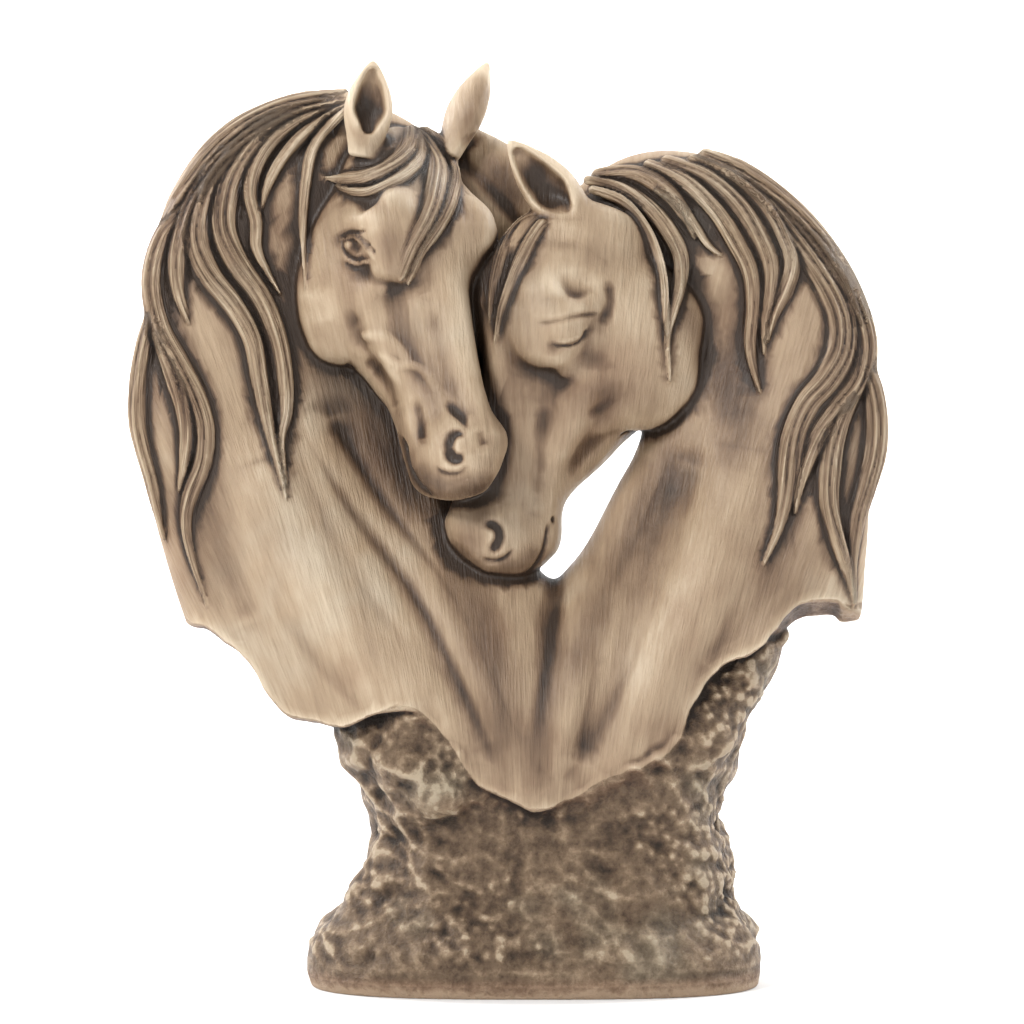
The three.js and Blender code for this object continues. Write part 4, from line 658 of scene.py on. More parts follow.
def stone_relief(body, x, y, z):
    """Height of the broken stone over the stand's plain form: broad swells and crumbs, rougher in places."""
    near = np.abs(body) < STONE_REACH
    x, y, z = (np.broadcast_to(v, body.shape)[near] for v in (x, y, z))
    bend = 5 * np.sin(x / 9 + z / 14) + 3 * np.sin(z / 7 - y / 6)
    coarse = STAND_COARSE[1] * (0.6 - seeds(x, y, z, STAND_COARSE[0]))
    # scoops with sharp crests between them, as chipped stone has
    fine = STAND_FINE[1] * (seeds(x + 1.6 * bend, y, 1.4 * z + bend, STAND_FINE[0]) - 0.5)
    fine += STAND_CHIP[1] * (seeds(x - bend, y + 9, z, STAND_CHIP[0]) - 0.5)
    rough = ramp(np.sin(x / 13 + 2) + np.sin(z / 11 + x / 23), -0.6, 1.2)
    crumb = STAND_CRUMB[1] * (0.5 - seeds(x, y + 40, z, STAND_CRUMB[0])) * (0.3 + rough)
    relief = np.zeros(body.shape, np.float32)
    relief[near] = ramp(z, STAND_LIP_HEIGHT, STAND_LIP_HEIGHT + 9) * (coarse + fine + crumb)
    return relief


def egg(p, centre, size):
    """Distance to a stretched ball, in a head's own axes."""
    q = [(p[i] - centre[i]) / size[i] for i in range(3)]
    k0 = np.sqrt(q[0] ** 2 + q[1] ** 2 + q[2] ** 2)
    k1 = np.sqrt(sum((q[i] / size[i]) ** 2 for i in range(3)))
    return k0 * (k0 - 1) / np.maximum(k1, 1e-6) * HEAD_LENGTH


def rod(p, a, b, ra, rb):
    """Distance to a rounded rod from a to b, in a head's own axes."""
    e = [b[i] - a[i] for i in range(3)]
    t = np.clip(sum((p[i] - a[i]) * e[i] for i in range(3)) / sum(v * v for v in e), 0, 1)
    away = np.sqrt(sum((p[i] - a[i] - t * e[i]) ** 2 for i in range(3)))
    return (away - (ra + (rb - ra) * t)) * HEAD_LENGTH


def with_masses(d, p, masses):
    """The distances of a head once rounded masses are added to it and hollows taken out."""
    for form, sign, *sizes, k in masses:
        m = egg(p, *sizes) if form == "egg" else rod(p, *sizes)
        d = smooth_min(d, m, k) if sign > 0 else smooth_max(d, -m, k)
    return d


def head(clay, place, outline, depth, blend):
    """A horse's head in its own axes, trimmed to its outline in the front view."""
    poll, along, up, across = (np.array(v, float) for v in place)
    axes = np.stack([along, up, across], 1)
    inverse = np.linalg.inv(axes)
    corners = [poll + axes @ np.array(corner) for corner in itertools.product(*HEAD_REACH)]
    cut, x, y, z = clay.window(np.min(corners, 0) - 4, np.max(corners, 0) + 4)
    q = [x - poll[0], y - poll[1], z - poll[2]]
    own = (row[0] * q[0] + row[1] * q[1] + row[2] * q[2] for row in inverse)
    l, f, side = (v.astype(np.float32) for v in own)
    w = np.abs(side)
    columns = (np.interp(l, HEAD_SECTIONS[:, 0], HEAD_SECTIONS[:, c]) for c in range(1, 6))
    top, bottom, wt, wm, wb = (v.astype(np.float32) for v in columns)
    t = (f - (top + bottom) / 2) / ((top - bottom) / 2)
    tc = np.clip(t, -1.15, 1.15)
    width = np.maximum(wm + (wt - wb) / 1.4 * tc + ((wt + wb) / 2 - wm) / 0.49 * tc ** 2, 0.25 * wm)
    g = (np.abs(w / width) ** 2.5 + np.abs(t) ** 2.5) ** 0.4 - 1
    gx, gy, gz = np.gradient(g, clay.step)
    d = np.clip(g / np.maximum(np.sqrt(gx * gx + gy * gy + gz * gz), 1 / 400), -30, 30)
    d = smooth_max(d, (np.abs(l - 0.475) - 0.545) * HEAD_LENGTH, 8.0)
    d = with_masses(d, (l, f, w), HEAD_MASSES)
    d = with_masses(d, (l, f, np.where(side < 0, w, -1.0)), FAR_MASSES)
    trim = outline_distance(curve(from_picture(outline, depth), 3, True), x.ravel(), z.ravel())[:, None, :]
    d = smooth_max(smooth_max(d, trim, 7.0), y - HEAD_BACK, 10.0)
    clay.add(cut, d, blend)


def ear(clay, base, tip, base_y, tip_y, opening, width):
    """A pointed ear, hollowed towards the direction of its opening."""
    bx, bz = from_picture([base], base_y)[0]
    tx, tz = from_picture([tip], tip_y)[0]
    base, tip = np.array((bx, base_y, bz)), np.array((tx, tip_y, tz))
    axis = tip - base
    length = np.linalg.norm(axis)
    axis /= length
    out = np.array(opening, float)
    out -= (out @ axis) * axis
    out /= np.linalg.norm(out)
    side = np.cross(axis, out)
    root = base - 0.25 * length * axis
    cut, x, y, z = clay.window(np.minimum(root, tip) - width - 4, np.maximum(root, tip) + width + 4)
    q = [x - base[0], y - base[1], z - base[2]]
    u, v, w = (sum(q[i] * d[i] for i in range(3)) for d in (axis / length, side, out))
    profile = curve(list(zip(EAR_SPAN, EAR_WIDE)), 6)
    r = width * np.interp(u, profile[:, 0], profile[:, 1])
    shell = (np.hypot(v / r, w / (0.66 * r)) - 1) * r * 0.66
    outer = smooth_max(shell, (np.abs(u - 0.375) - 0.625) * length, 1.5)
    cup = r * (0.25 + 0.75 * ramp(u, -0.05, 0.4))
    hollow = (np.hypot(v / (0.74 * cup), (w - 0.62 * r) / (0.8 * cup)) - 1) * cup * 0.59
    inner = smooth_max(hollow, (np.abs(u - 0.47) - 0.43) * length, 2.0)
    clay.add(cut, smooth_max(outer, -inner, 1.0), EAR_BLEND)


def blurred(grid, radius):
    """A grid of the front plane, evened out by a Gaussian of that radius in cells."""
    reach = int(math.ceil(3 * radius))
    kernel = np.exp(-np.arange(-reach, reach + 1) ** 2 / (2 * radius ** 2))
    for axis in (0, 1):
        pad = [(reach, reach) if a == axis else (0, 0) for a in (0, 1)]
        wide = np.pad(grid, pad)
        grid = sum(w * np.take(wide, range(m, m + grid.shape[axis]), axis) for m, w in enumerate(kernel))
    return grid


def over_front(clay, grid, x, z):
    """Values of a grid of the front plane at places of that plane."""
    u = np.clip((x - clay.low[0]) / clay.step, 0, grid.shape[0] - 1.001)
    v = np.clip((z - clay.low[2]) / clay.step, 0, grid.shape[1] - 1.001)
    i, k = u.astype(int), v.astype(int)
    fu, fv = u - i, v - k
    return (grid[i, k] * (1 - fu) * (1 - fv) + grid[i + 1, k] * fu * (1 - fv)
            + grid[i, k + 1] * (1 - fu) * fv + grid[i + 1, k + 1] * fu * fv)


class Surface:
    """Y of the front or back of the clay over the front plane, with its slopes."""

    def __init__(self, clay, side, blur):
        self.side, self.clay = side, clay
        inside = clay.value < 0
        known = inside.any(1)
        nx, ny, nz = clay.count
        j = inside.argmax(1) if side == FRONT else ny - 1 - inside[:, ::-1, :].argmax(1)
        i, k = np.meshgrid(np.arange(nx), np.arange(nz), indexing="ij")
        out = np.clip(j + side, 0, ny - 1)
        a, b = clay.value[i, j, k], clay.value[i, out, k]
        t = np.clip(a / np.where(np.abs(a - b) < 1e-6, 1, a - b), 0, 1)
        y = np.where(known, clay.axis[1][j] * (1 - t) + clay.axis[1][out] * t, 0)
        weight = blurred(known.astype(float), blur / clay.step)
        self.y = np.where(weight > 1e-3, blurred(y, blur / clay.step) / np.maximum(weight, 1e-3), 0)
        self.slope = np.gradient(self.y, clay.step)

    def at(self, x, z):
        return over_front(self.clay, self.y, x, z)

    def normal(self, x, z):
        sx, sz = (over_front(self.clay, s, x, z) for s in self.slope)
        f = np.minimum(1, 1.6 / np.maximum(np.hypot(sx, sz), 1e-6))
        n = np.stack([-self.side * sx * f, np.full(len(x), self.side), -self.side * sz * f], 1)
        return n / np.linalg.norm(n, axis=1)[:, None]


def band(px, pz, line, wide):
    """A soft band along a line of the front plane: 1 on the line, 0 at its edges, fading at its ends."""
    c = curve(line, 4) if len(line) > 2 else np.array(line)
    n = len(c)
    strength = np.zeros(px.shape)
    for i in range(max(n - 1, 1)):
        a, b = c[i], c[min(i + 1, n - 1)]
        e = b - a
        h = np.clip(((px - a[0]) * e[0] + (pz - a[1]) * e[1]) / max(e @ e, 1e-9), 0, 1)
        q = ((px - a[0] - h * e[0]) ** 2 + (pz - a[1] - h * e[1]) ** 2) / wide ** 2
        t = (i + h) / max(n - 1, 1)
        end = ramp(np.minimum(t, 1 - t), 0, 0.2) if n > 1 else 1.0
        strength = np.maximum(strength, np.clip(1 - q, 0, 1) ** 2 * end)
    return strength


def swell(clay, surface, line, wide, height):
    """A soft swelling (height above 0) or hollow of the front surface along a line of the front plane."""
    low, high = line.min(0) - wide - 3, line.max(0) + wide + 3
    cut, x, y, z = clay.window((low[0], LOW[1], low[1]), (high[0], HIGH[1], high[1]))
    px, pz = np.broadcast_arrays(x[:, 0, :], z[:, 0, :])
    strength = band(px, pz, line, wide)
    near = ramp(surface.at(px, pz)[:, None, :] + 14 - y, 0, 10)
    clay.value[cut] -= (height * strength[:, None, :] * near).astype(np.float32)


def stroke(clay, surface, line, wide, height, blend):
    """A crisp ridge (height above 0) or groove drawn on the front surface."""
    tall = abs(height)
    full = (wide ** 2 + tall ** 2) / (2 * tall)
    c = curve(line, 4) if len(line) > 2 else np.array(line)
    n = len(c)
    t = np.linspace(0, 1, n) if n > 1 else np.array([0.5])
    r = full - (tall + 0.4) * (1 - np.clip(np.minimum(t, 1 - t) / 0.25, 0, 1)) ** 2
    depth = surface.at(c[:, 0], c[:, 1]) + math.copysign(full - tall, height)
    spine = np.stack([c[:, 0], depth, c[:, 1]], 1)
    cut, x, y, z = clay.window(spine.min(0) - full - 2.5, spine.max(0) + full + 2.5)
    best = np.full(clay.value[cut].shape, 20.0)
    for i in range(max(n - 1, 1)):
        m = min(i + 1, n - 1)
        a, e = spine[i], spine[m] - spine[i]
        q = (x - a[0], y - a[1], z - a[2])
        h = np.clip(sum(q[s] * e[s] for s in range(3)) / max(e @ e, 1e-9), 0, 1)
        away = np.sqrt(sum((q[s] - h * e[s]) ** 2 for s in range(3)))
        best = np.minimum(best, away - (r[i] + (r[m] - r[i]) * h))
    if height > 0:
        clay.add(cut, best, blend)
    else:
        clay.cut(cut, best, blend)


def lock(clay, surface, line, width, thickness=LOCK_THICKNESS, lift=LOCK_LIFT, seed=0):
    """A flattened lock of hair, laid on the surface along a guide line.

    It is ridged along its strands and tapers to its tip.
    """
    c = curve(line, 6)
    n = len(c)
    t = np.linspace(0, 1, n)
    laid = np.pad(surface.at(c[:, 0], c[:, 1]), 3, mode="edge")
    y = np.convolve(laid, np.array([1, 2, 3, 4, 3, 2, 1]) / 16, "valid") + surface.side * lift
    spine = np.stack([c[:, 0], y, c[:, 1]], 1)
    tangent = np.gradient(spine, axis=0)
    tangent /= np.linalg.norm(tangent, axis=1)[:, None]
    normal = surface.normal(c[:, 0], c[:, 1])
    for _ in range(3):
        normal[1:-1] = (normal[:-2] + 2 * normal[1:-1] + normal[2:]) / 4
    normal -= (normal * tangent).sum(1)[:, None] * tangent
    normal /= np.linalg.norm(normal, axis=1)[:, None]
    side = np.cross(tangent, normal)
    half = width * np.interp(t, LOCK_SPAN, LOCK_WIDE)
    thick = thickness * np.interp(t, LOCK_SPAN, LOCK_TALL)
    reach = width + 4
    passed = np.concatenate([[0], np.cumsum(np.linalg.norm(np.diff(spine, axis=0), axis=1))])
    cut, x, y, z = clay.window(spine.min(0) - reach, spine.max(0) + reach)
    shape = clay.value[cut].shape
    best = np.full(shape, 30.0, np.float32)
    across = np.zeros(shape, np.float32)
    along = np.zeros(shape, np.float32)
    for i in range(n - 1):
        a, b = spine[i], spine[i + 1]
        ends = [(min(a[s], b[s]) - reach, max(a[s], b[s]) + reach) for s in range(3)]
        part = tuple(slice(*np.searchsorted(g.ravel(), pair)) for g, pair in zip((x, y, z), ends))
        q = (x[part[0]] - a[0], y[:, part[1]] - a[1], z[:, :, part[2]] - a[2])
        e = b - a
        raw = (sum(q[s] * e[s] for s in range(3)) / (e @ e)).astype(np.float32)
        h = np.clip(raw, 0, 1)
        r = [q[s] - h * e[s] for s in range(3)]
        w = half[i] + (half[i + 1] - half[i]) * h
        u = sum(r[s] * (side[i, s] + (side[i + 1, s] - side[i, s]) * h) for s in range(3))
        v = sum(r[s] * (normal[i, s] + (normal[i + 1, s] - normal[i, s]) * h) for s in range(3))
        gone = passed[i] + h * (passed[i + 1] - passed[i])
        phase = u * (2 * np.pi / STRAND_PITCH) + seed + 1.3 * np.sin(gone / 11 + 2 * seed)
        ridge = 1 + STRAND_HEIGHT * np.cos(phase)
        v = v / ((thick[i] + (thick[i + 1] - thick[i]) * h) * ridge)
        flat = (np.sqrt((u / w) ** 2 + v ** 2) - 1) * min(half[i], thick[i])
        d = flat + np.abs(raw - h) * np.linalg.norm(e)
        closer = d < best[part]
        best[part] = np.where(closer, d, best[part])
        across[part] = np.where(closer, u, across[part])
        along[part] = np.where(closer, gone, along[part])
    clay.add(cut, best, LOCK_BLEND)
    closer = best < clay.hair[cut]
    clay.hair[cut] = np.where(closer, best, clay.hair[cut])
    clay.across[cut] = np.where(closer, across + 11.3 * seed, clay.across[cut])
    clay.along[cut] = np.where(closer, along, clay.along[cut])


def model():
    """The whole sculpture in clay, and the distance above the necks' broken edge over the front plane."""
    clay = Clay(GRID)
    neck(clay, LEFT_NECK, LEFT_NECK_DEPTHS)
    neck(clay, RIGHT_NECK, RIGHT_NECK_DEPTHS)
    below = break_necks(clay)
    stand(clay, below)
    head(clay, LEFT_HEAD, LEFT_FACE, LEFT_FACE_Y, LEFT_HEAD_BLEND)
    head(clay, RIGHT_HEAD, RIGHT_FACE, RIGHT_FACE_Y, RIGHT_HEAD_BLEND)
    for e in EARS:
        ear(clay, *e)
    body = Surface(clay, FRONT, NECK_EVENING)
    for line, *form in NECK_SWELLS:
        swell(clay, body, from_picture(line, NECK_Y), *form)
    bones = Surface(clay, FRONT, FACE_EVENING)
    for line, *form in FACE_SWELLS:
        swell(clay, bones, from_picture(line, FACE_Y), *form)
    face = Surface(clay, FRONT, FEATURE_EVENING)
    for line, *form in FACE_FORMS:
        stroke(clay, face, from_picture(line, FACE_Y), *form)
    for side in (FRONT, BACK):
        surface = Surface(clay, side, MANE_EVENING)
        for n, (line, width) in enumerate(LEFT_MANE + RIGHT_MANE):
            lock(clay, surface, from_picture(line), width, seed=n)
    brow = Surface(clay, FRONT, BROW_EVENING)
    for n, (line, width) in enumerate(FORELOCKS):
        lock(clay, brow, from_picture(line, FORELOCK_Y), width, FORELOCK_THICKNESS, FORELOCK_LIFT, 40 + n)
    # flat underside
    clay.value[:] = np.maximum(clay.value, -clay.axis[2][None, None, :])
    return clay, below


def main_shell(count, faces):
    """Faces of the largest connected shell, leaving out loose crumbs and closed bubbles."""
    label = np.arange(count)
    while True:
        low = label[faces].min(1)
        new = label.copy()
        np.minimum.at(new, faces.ravel(), np.repeat(low, faces.shape[1]))
        new = new[new]
        if (new == label).all():
            break
        label = new
    names, sizes = np.unique(label[faces[:, 0]], return_counts=True)
    return faces[label[faces[:, 0]] == names[sizes.argmax()]]


def skin(clay):
    """The surface of the clay as points in millimetres and four-sided faces."""
    grid = openvdb.FloatGrid(20.0)
    grid.copyFromArray(clay.value.astype(np.float32))
    points, faces = grid.convertToQuads(isovalue=0.0)
    faces = main_shell(len(points), faces.astype(int))
    used, faces = np.unique(faces, return_inverse=True)
    return points[used] * clay.step + clay.low, faces.reshape(-1, 4)


def outward(clay, points):
    """Directions straight out of the surface at points, from the clay itself."""
    h = 0.5 * clay.step
    at = lambda p: clay.sample(clay.value, p)
    slope = np.stack([at(points + h * e) - at(points - h * e) for e in np.eye(3)], 1)
    return slope / np.maximum(np.linalg.norm(slope, axis=1), 1e-9)[:, None]


def box_blurred(solid, cells):
    """A grid averaged over a cube of 2 * cells + 1 a side."""
    for axis in range(3):
        total = np.cumsum(solid, axis, dtype=np.float32)
        size = solid.shape[axis]
        high = np.take(total, np.minimum(np.arange(size) + cells, size - 1), axis)
        low = np.take(total, np.maximum(np.arange(size) - cells - 1, 0), axis)
        solid = (high - low) / (2 * cells + 1)
    return solid


def hollowness(clay, points, reach):
    """How deep in a hollow each point lies: above 0 in hollows, below 0 on ridges."""
    solid = np.clip(0.5 - clay.value / clay.step, 0, 1)
    return 2 * clay.sample(box_blurred(solid, max(1, round(reach / clay.step))), points) - 1


def mesh_object(name, points, faces):
    """A new object in the scene with a mesh of those points and faces."""
    mesh = bpy.data.meshes.new(name)
    mesh.from_pydata(points, [], faces)
    mesh.update()
    obj = bpy.data.objects.new(name, mesh)
    bpy.context.scene.collection.objects.link(obj)
    return obj


def reduced(obj, triangles):
    """The same object with its mesh collapsed to that many triangles."""
    whole = sum(len(p.vertices) - 2 for p in obj.data.polygons)
    modifier = obj.modifiers.new("fewer faces", "DECIMATE")
    modifier.ratio = min(1.0, triangles / whole)
    evaluated = obj.evaluated_get(bpy.context.evaluated_depsgraph_get())
    mesh = bpy.data.meshes.new_from_object(evaluated)
    obj.modifiers.clear()
    dense, obj.data = obj.data, mesh
    bpy.data.meshes.remove(dense)
    return obj


def washes_and_painted_light(points, normals):
    """How dark the washes and painted shade are at each point, and how pale the painted highlights, from the
    bands laid over the front.
    """
    dark = np.zeros(len(points))
    front = ramp(-normals[:, 1], -0.2, 0.4)
    for line, wide, strength in WASHES_AND_PAINTED_LIGHT:
        dark += strength * band(points[:, 0], points[:, 2], from_picture(line, WASH_AND_PAINTED_LIGHT_Y), wide) * front
    return dark


def attribute(mesh, name, values):
    """Gives each point of the mesh a named number or direction."""
    kind = "FLOAT" if values.ndim == 1 else "FLOAT_VECTOR"
    layer = mesh.attributes.new(name, kind, "POINT")
    layer.data.foreach_set("value" if values.ndim == 1 else "vector", values.astype(np.float32).ravel())


def paint_attributes(mesh, clay, below, points, normals):
    """The values at each point from which the paint is mixed."""
    edge = over_front(clay, below, points[:, 0], points[:, 2])
    attribute(mesh, "hair", ramp(-clay.sample(clay.hair, points), -1.3, -0.2))
    strand = (clay.sample(clay.across, points), clay.sample(clay.along, points), points[:, 1])
    attribute(mesh, "strand", np.stack(strand, 1))
    # off the hair, brush strokes run down the necks, which lean towards the middle of the stand
    lean = (points[:, 0] - 10) / np.clip((points[:, 2] + 120) / 200, 0.5, 3)
    attribute(mesh, "stroke", np.stack([lean, points[:, 2], points[:, 1]], 1))
    # how deep in creases and hollows each point lies: the paint gets its dark wash and painted shade in
    # hollows, and dry-brushed paint with painted highlights on ridges
    attribute(mesh, "crease", hollowness(clay, points, CREASE_REACH))
    attribute(mesh, "hollow", hollowness(clay, points, HOLLOW_REACH))
    attribute(mesh, "depth", hollowness(clay, points, DEPTH_OF_FORM_REACH))
    # bands of wash, painted shade and painted shadows, and paler painted highlights
    attribute(mesh, "wash_and_painted_light", washes_and_painted_light(points, normals))
    stone = ramp(-edge, -0.8, 1.2)
    under = ramp(-normals[:, 2], 0.15, 0.6) * ramp(-np.abs(edge), -16, -8)
    attribute(mesh, "stone", np.maximum(stone, under))
    lip = ramp(-points[:, 2], -STAND_LIP_HEIGHT, -STAND_LIP_HEIGHT + 3)
    attribute(mesh, "red", np.maximum(under, lip))


def sculpture():
    """The casting: one mesh in the box of the solid, with the values for its paint."""
    clay, below = model()
    points, faces = skin(clay)
    obj = reduced(mesh_object("horse_sculpture", points, faces), TRIANGLES)
    mesh = obj.data
    flat = np.zeros(3 * len(mesh.vertices), np.float32)
    mesh.vertices.foreach_get("co", flat)
    points = flat.reshape(-1, 3).astype(float)
    normals = outward(clay, points)
    paint_attributes(mesh, clay, below, points, normals)
    # same box as the solid
    low, high = points.min(0), points.max(0)
    size = (np.array(CAD_BOX[1]) - np.array(CAD_BOX[0])) / (high - low)
    points = (points - low) * size + np.array(CAD_BOX[0])
    mesh.vertices.foreach_set("co", points.astype(np.float32).ravel())
    mesh.shade_smooth()
    normals /= size
    normals /= np.linalg.norm(normals, axis=1)[:, None]
    mesh.normals_split_custom_set_from_vertices(normals)
    mesh.update()
    return obj


class Paint:
    """The nodes of one material, with short calls for sums, noises and ramps."""

    def __init__(self, name):
        self.material = bpy.data.materials.new(name)
        self.material.use_nodes = True
        self.tree = self.material.node_tree
        self.tree.nodes.clear()
        self.place = self.node("ShaderNodeTexCoord").outputs["Object"]

    def node(self, kind, inputs=None, **settings):
        node = self.tree.nodes.new(kind)
        for key, value in settings.items():
            setattr(node, key, value)
        for key, value in (inputs or {}).items():
            if isinstance(value, bpy.types.NodeSocket):
                self.tree.links.new(value, node.inputs[key])
            else:
                node.inputs[key].default_value = value
        return node

    def math(self, operation, a, b):
        return self.node("ShaderNodeMath", {0: a, 1: b}, operation=operation).outputs[0]

    def attribute(self, name):
        return self.node("ShaderNodeAttribute", attribute_name=name).outputs["Fac"]

    def scaled(self, vector, by):
        return self.node("ShaderNodeVectorMath", {0: vector, 1: by}, operation="MULTIPLY").outputs[0]

    def noise(self, vector, scale, detail=3.0, rough=0.55):
        inputs = {"Vector": vector, "Scale": scale, "Detail": detail, "Roughness": rough}
        return self.node("ShaderNodeTexNoise", inputs).outputs["Fac"]

    def stretch(self, value, a, b, c=0.0, d=1.0):
        """The value moved from the range a to b into the range c to d, and kept there."""
        inputs = {"Value": value, "From Min": a, "From Max": b, "To Min": c, "To Max": d}
        return self.node("ShaderNodeMapRange", inputs).outputs["Result"]

    def ramp(self, value, stops):
        node = self.node("ShaderNodeValToRGB", {"Fac": value})
        elements = node.color_ramp.elements
        while len(elements) < len(stops):
            elements.new(0.5)
        for element, (place, colour) in zip(elements, stops):
            element.position = place
            element.color = (*colour, 1)
        return node.outputs["Color"]

    def mix(self, share, a, b):
        return self.node("ShaderNodeMix", {0: share, 6: a, 7: b}, data_type="RGBA").outputs[2]

    def between(self, share, a, b):
        return self.node("ShaderNodeMix", {0: share, 2: a, 3: b}, data_type="FLOAT").outputs[0]

    def bump(self, height, distance):
        inputs = {"Height": height, "Distance": distance, "Strength": 1.0}
        return self.node("ShaderNodeBump", inputs).outputs["Normal"]


def above(paint, name):
    """A named value of the mesh where it is above 0."""
    return paint.math("MAXIMUM", paint.attribute(name), 0.0)


def beneath(paint, name):
    """A named value of the mesh where it is below 0."""
    return paint.math("MINIMUM", paint.attribute(name), 0.0)


def total(paint, first, *terms):
    """first plus each (value, factor) of the terms."""
    for value, factor in terms:
        first = paint.math("ADD", first, paint.math("MULTIPLY", value, factor))
    return first


def horse_tone(paint):
    """How light the paint of the horses is, from 0 dark to 1 cream, with painted shade in its hollows and
    painted highlights on its ridges, and the fine relief of its strokes.
    """
    stroke = paint.node("ShaderNodeAttribute", attribute_name="stroke").outputs["Vector"]
    strand = paint.node("ShaderNodeAttribute", attribute_name="strand").outputs["Vector"]
    hair = paint.attribute("hair")
    brushed = paint.noise(paint.scaled(stroke, (1.3, 0.075, 0.09)), 1.0, 3.0, 0.62)
    combed = paint.stretch(paint.noise(paint.scaled(strand, (0.85, 0.02, 0.0)), 1.0, 3.0, 0.6), 0.33, 0.67)
    fine = paint.between(hair, brushed, combed)
    broad = paint.noise(paint.scaled(stroke, (0.16, 0.018, 0.02)), 1.0, 2.0)
    cloud = paint.noise(paint.place, 19.0, 3.0)
    tone = total(
        paint, 0.64,
        # the same fine noise raises the strands and brush strokes in the bump, so the paint is paler where
        # they stand up and darker between them: the brushed and combed paint, with painted shade between the
        # strands
        (paint.math("SUBTRACT", fine, 0.5), paint.between(hair, 0.28, 0.50)),
        (paint.math("SUBTRACT", broad, 0.5), paint.between(hair, 0.34, 0.15)),
        (paint.math("SUBTRACT", cloud, 0.5), 0.45),
        # darker in creases and hollows and paler on ridges: the dark wash and dry-brushed paint of the
        # piece, together with painted shade in the hollows and painted highlights on the ridges
        (above(paint, "crease"), -1.6),
        (beneath(paint, "crease"), -0.5),
        (above(paint, "hollow"), -2.6),
        (beneath(paint, "hollow"), -0.8),
        (above(paint, "depth"), -1.5),
        # bands of wash, painted shade and painted shadows, and paler painted highlights
        (paint.attribute("wash_and_painted_light"), -1.05),
        (hair, -0.22),
    )
    return tone, fine, hair, cloud


def stone_tone(paint):
    """How light the paint of the rough stone is, with painted shade in its hollows and painted highlights on
    its ridges, and its relief.
    """
    rough = paint.noise(paint.place, 165.0, 6.0, 0.72)
    patch = paint.noise(paint.place, 24.0, 2.0)
    relief = paint.math("ADD", rough, paint.math("MULTIPLY", paint.noise(paint.place, 520.0, 2.0), 0.3))
    tone = total(
        paint, -0.28,
        # paler where the same relief stands up in the bump and darker in its dents: the stone's own
        # mottling, with painted highlights and painted shade of that relief
        (relief, 1.2),
        (paint.math("SUBTRACT", patch, 0.5), 0.55),
        # darker in creases and hollows and paler on ridges: the stone's dark wash and dry-brushed paint,
        # with painted shade in the hollows and painted highlights on the ridges
        (above(paint, "crease"), -0.8),
        (beneath(paint, "crease"), -2.0),
        (above(paint, "hollow"), -1.1),
        (beneath(paint, "hollow"), -1.6),
        (above(paint, "depth"), -0.9),
    )
    return tone, relief, patch


def antiqued_resin():
    """Painted resin: brushed browns on the horses, darker and rougher paint on the stone, both with painted
    shade in their hollows and painted highlights on their ridges.
    """
    paint = Paint("antiqued_resin")
    tone, fine, hair, cloud = horse_tone(paint)
    horse = paint.ramp(tone, HORSE_COLOURS)
    # thin cool and warm glazes over the paint
    cool = paint.stretch(cloud, 0.56, 0.70, 0.0, 0.30)
    horse = paint.mix(cool, horse, paint.ramp(tone, COOL_COLOURS))
    warm = paint.stretch(cloud, 0.46, 0.34, 0.0, 0.35)
    horse = paint.mix(warm, horse, paint.ramp(tone, RED_COLOURS))
    rock, relief, patch = stone_tone(paint)
    stone_colour = paint.ramp(rock, STONE_COLOURS)
    mossy = paint.stretch(patch, 0.56, 0.68, 0.0, 0.4)
    stone_colour = paint.mix(mossy, stone_colour, paint.ramp(rock, MOSS_COLOURS))
    reddish = paint.math("MULTIPLY", paint.attribute("red"), 0.7)
    stone_colour = paint.mix(reddish, stone_colour, paint.ramp(rock, RED_COLOURS))
    ragged = paint.math("MULTIPLY", paint.math("SUBTRACT", relief, 0.6), 0.5)
    stone = paint.stretch(paint.math("ADD", paint.attribute("stone"), ragged), 0.38, 0.58)
    colour = paint.mix(stone, horse, stone_colour)
    horse_gloss = paint.stretch(fine, 0.3, 0.7, 0.60, 0.46)
    stone_gloss = paint.stretch(relief, 0.4, 0.9, 0.74, 0.36)
    gloss = paint.between(stone, horse_gloss, stone_gloss)
    speckle = paint.noise(paint.place, 650.0, 1.0)
    threads = paint.math("MULTIPLY", fine, paint.between(hair, 0.50, 0.66))
    smooth = paint.bump(total(paint, threads, (speckle, 0.10)), 0.0014)
    coarse = paint.bump(relief, 0.0052)
    normal = paint.node("ShaderNodeMix", {0: stone, 4: smooth, 5: coarse}, data_type="VECTOR").outputs[1]
    shader = paint.node("ShaderNodeBsdfPrincipled", {
        "Base Color": colour, "Roughness": gloss, "Normal": normal, "IOR": 1.48, "Specular IOR Level": 0.45,
    })
    output = paint.node("ShaderNodeOutputMaterial")
    paint.tree.links.new(shader.outputs[0], output.inputs["Surface"])
    return paint.material


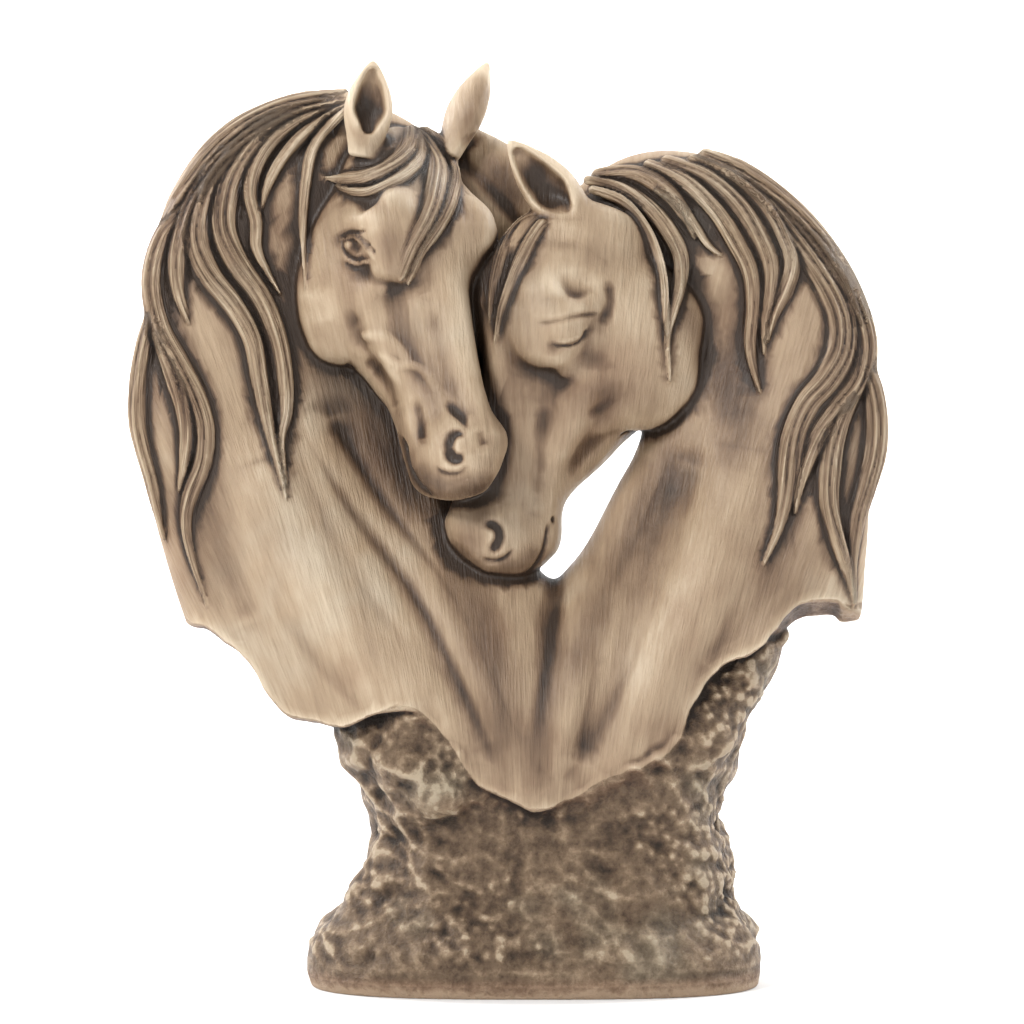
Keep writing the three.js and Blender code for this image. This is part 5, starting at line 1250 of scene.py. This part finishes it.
def backdrop():
    """A pale floor that curves up behind the sculpture."""
    reach, bend, rise, wide = 1.6, 0.8, 3.0, 4.0
    profile = [(-2.5, 0.0), (reach, 0.0)]
    for i in range(1, 13):
        a = math.radians(90 * i / 12)
        profile.append((reach + bend * math.sin(a), bend * (1 - math.cos(a))))
    profile.append((reach + bend, rise))
    points = [(x, y, z) for y, z in profile for x in (-wide, wide)]
    faces = [(2 * i, 2 * i + 1, 2 * i + 3, 2 * i + 2) for i in range(len(profile) - 1)]
    obj = mesh_object("floor", points, faces)
    obj.data.shade_smooth()
    material = bpy.data.materials.new("pale_floor")
    material.use_nodes = True
    shader = material.node_tree.nodes["Principled BSDF"]
    shader.inputs["Base Color"].default_value = (0.86, 0.86, 0.86, 1)
    shader.inputs["Roughness"].default_value = 0.9
    obj.data.materials.append(material)


def lamp(name, place, aim, size, power):
    """A round lamp of that size in metres and power in watts, turned towards aim."""
    data = bpy.data.lights.new(name, "AREA")
    data.shape = "DISK"
    data.size = size
    data.energy = power
    obj = bpy.data.objects.new(name, data)
    obj.location = place
    obj.rotation_euler = (Vector(aim) - Vector(place)).to_track_quat("-Z", "Y").to_euler()
    bpy.context.scene.collection.objects.link(obj)


def light():
    """Soft light from the upper left, over an even pale surround."""
    middle = (0, 0, 0.19)
    lamp("key", (-1.0, -1.1, 1.15), middle, 0.45, 27)
    lamp("fill", (1.4, -1.2, 0.5), middle, 1.0, 8)
    lamp("top", (0.1, 0.4, 1.5), middle, 0.8, 8)
    # the pale backdrop is lit from either side, behind the sculpture
    lamp("left wall", (-1.6, 0.7, 1.2), (0.3, 2.4, 0.7), 0.8, 70)
    lamp("right wall", (1.6, 0.7, 1.2), (-0.3, 2.4, 0.7), 0.8, 70)
    world = bpy.data.worlds.new("soft_light")
    world.use_nodes = True
    world.node_tree.nodes["Background"].inputs["Color"].default_value = (1, 1, 1, 1)
    world.node_tree.nodes["Background"].inputs["Strength"].default_value = 0.5
    bpy.context.scene.world = world


def camera():
    """The photograph's straight-on view, from far enough that the whole sculpture is in it."""
    data = bpy.data.cameras.new("camera")
    data.sensor_width = 36
    data.lens = data.sensor_width * VIEW_DISTANCE * CAMERA_SCALE / PICTURE_SIZE
    obj = bpy.data.objects.new("camera", data)
    obj.location = (VIEW_X / 1000, -VIEW_DISTANCE / 1000, CAMERA_HEIGHT / 1000)
    obj.rotation_euler = (math.radians(90), 0, 0)
    bpy.context.scene.collection.objects.link(obj)
    bpy.context.scene.camera = obj


def main():
    piece = sculpture()
    piece.data.materials.append(antiqued_resin())
    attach(piece, "root")
    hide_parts("sculpture")
    backdrop()
    light()
    camera()
    bpy.context.scene.view_settings.view_transform = "Standard"


main()
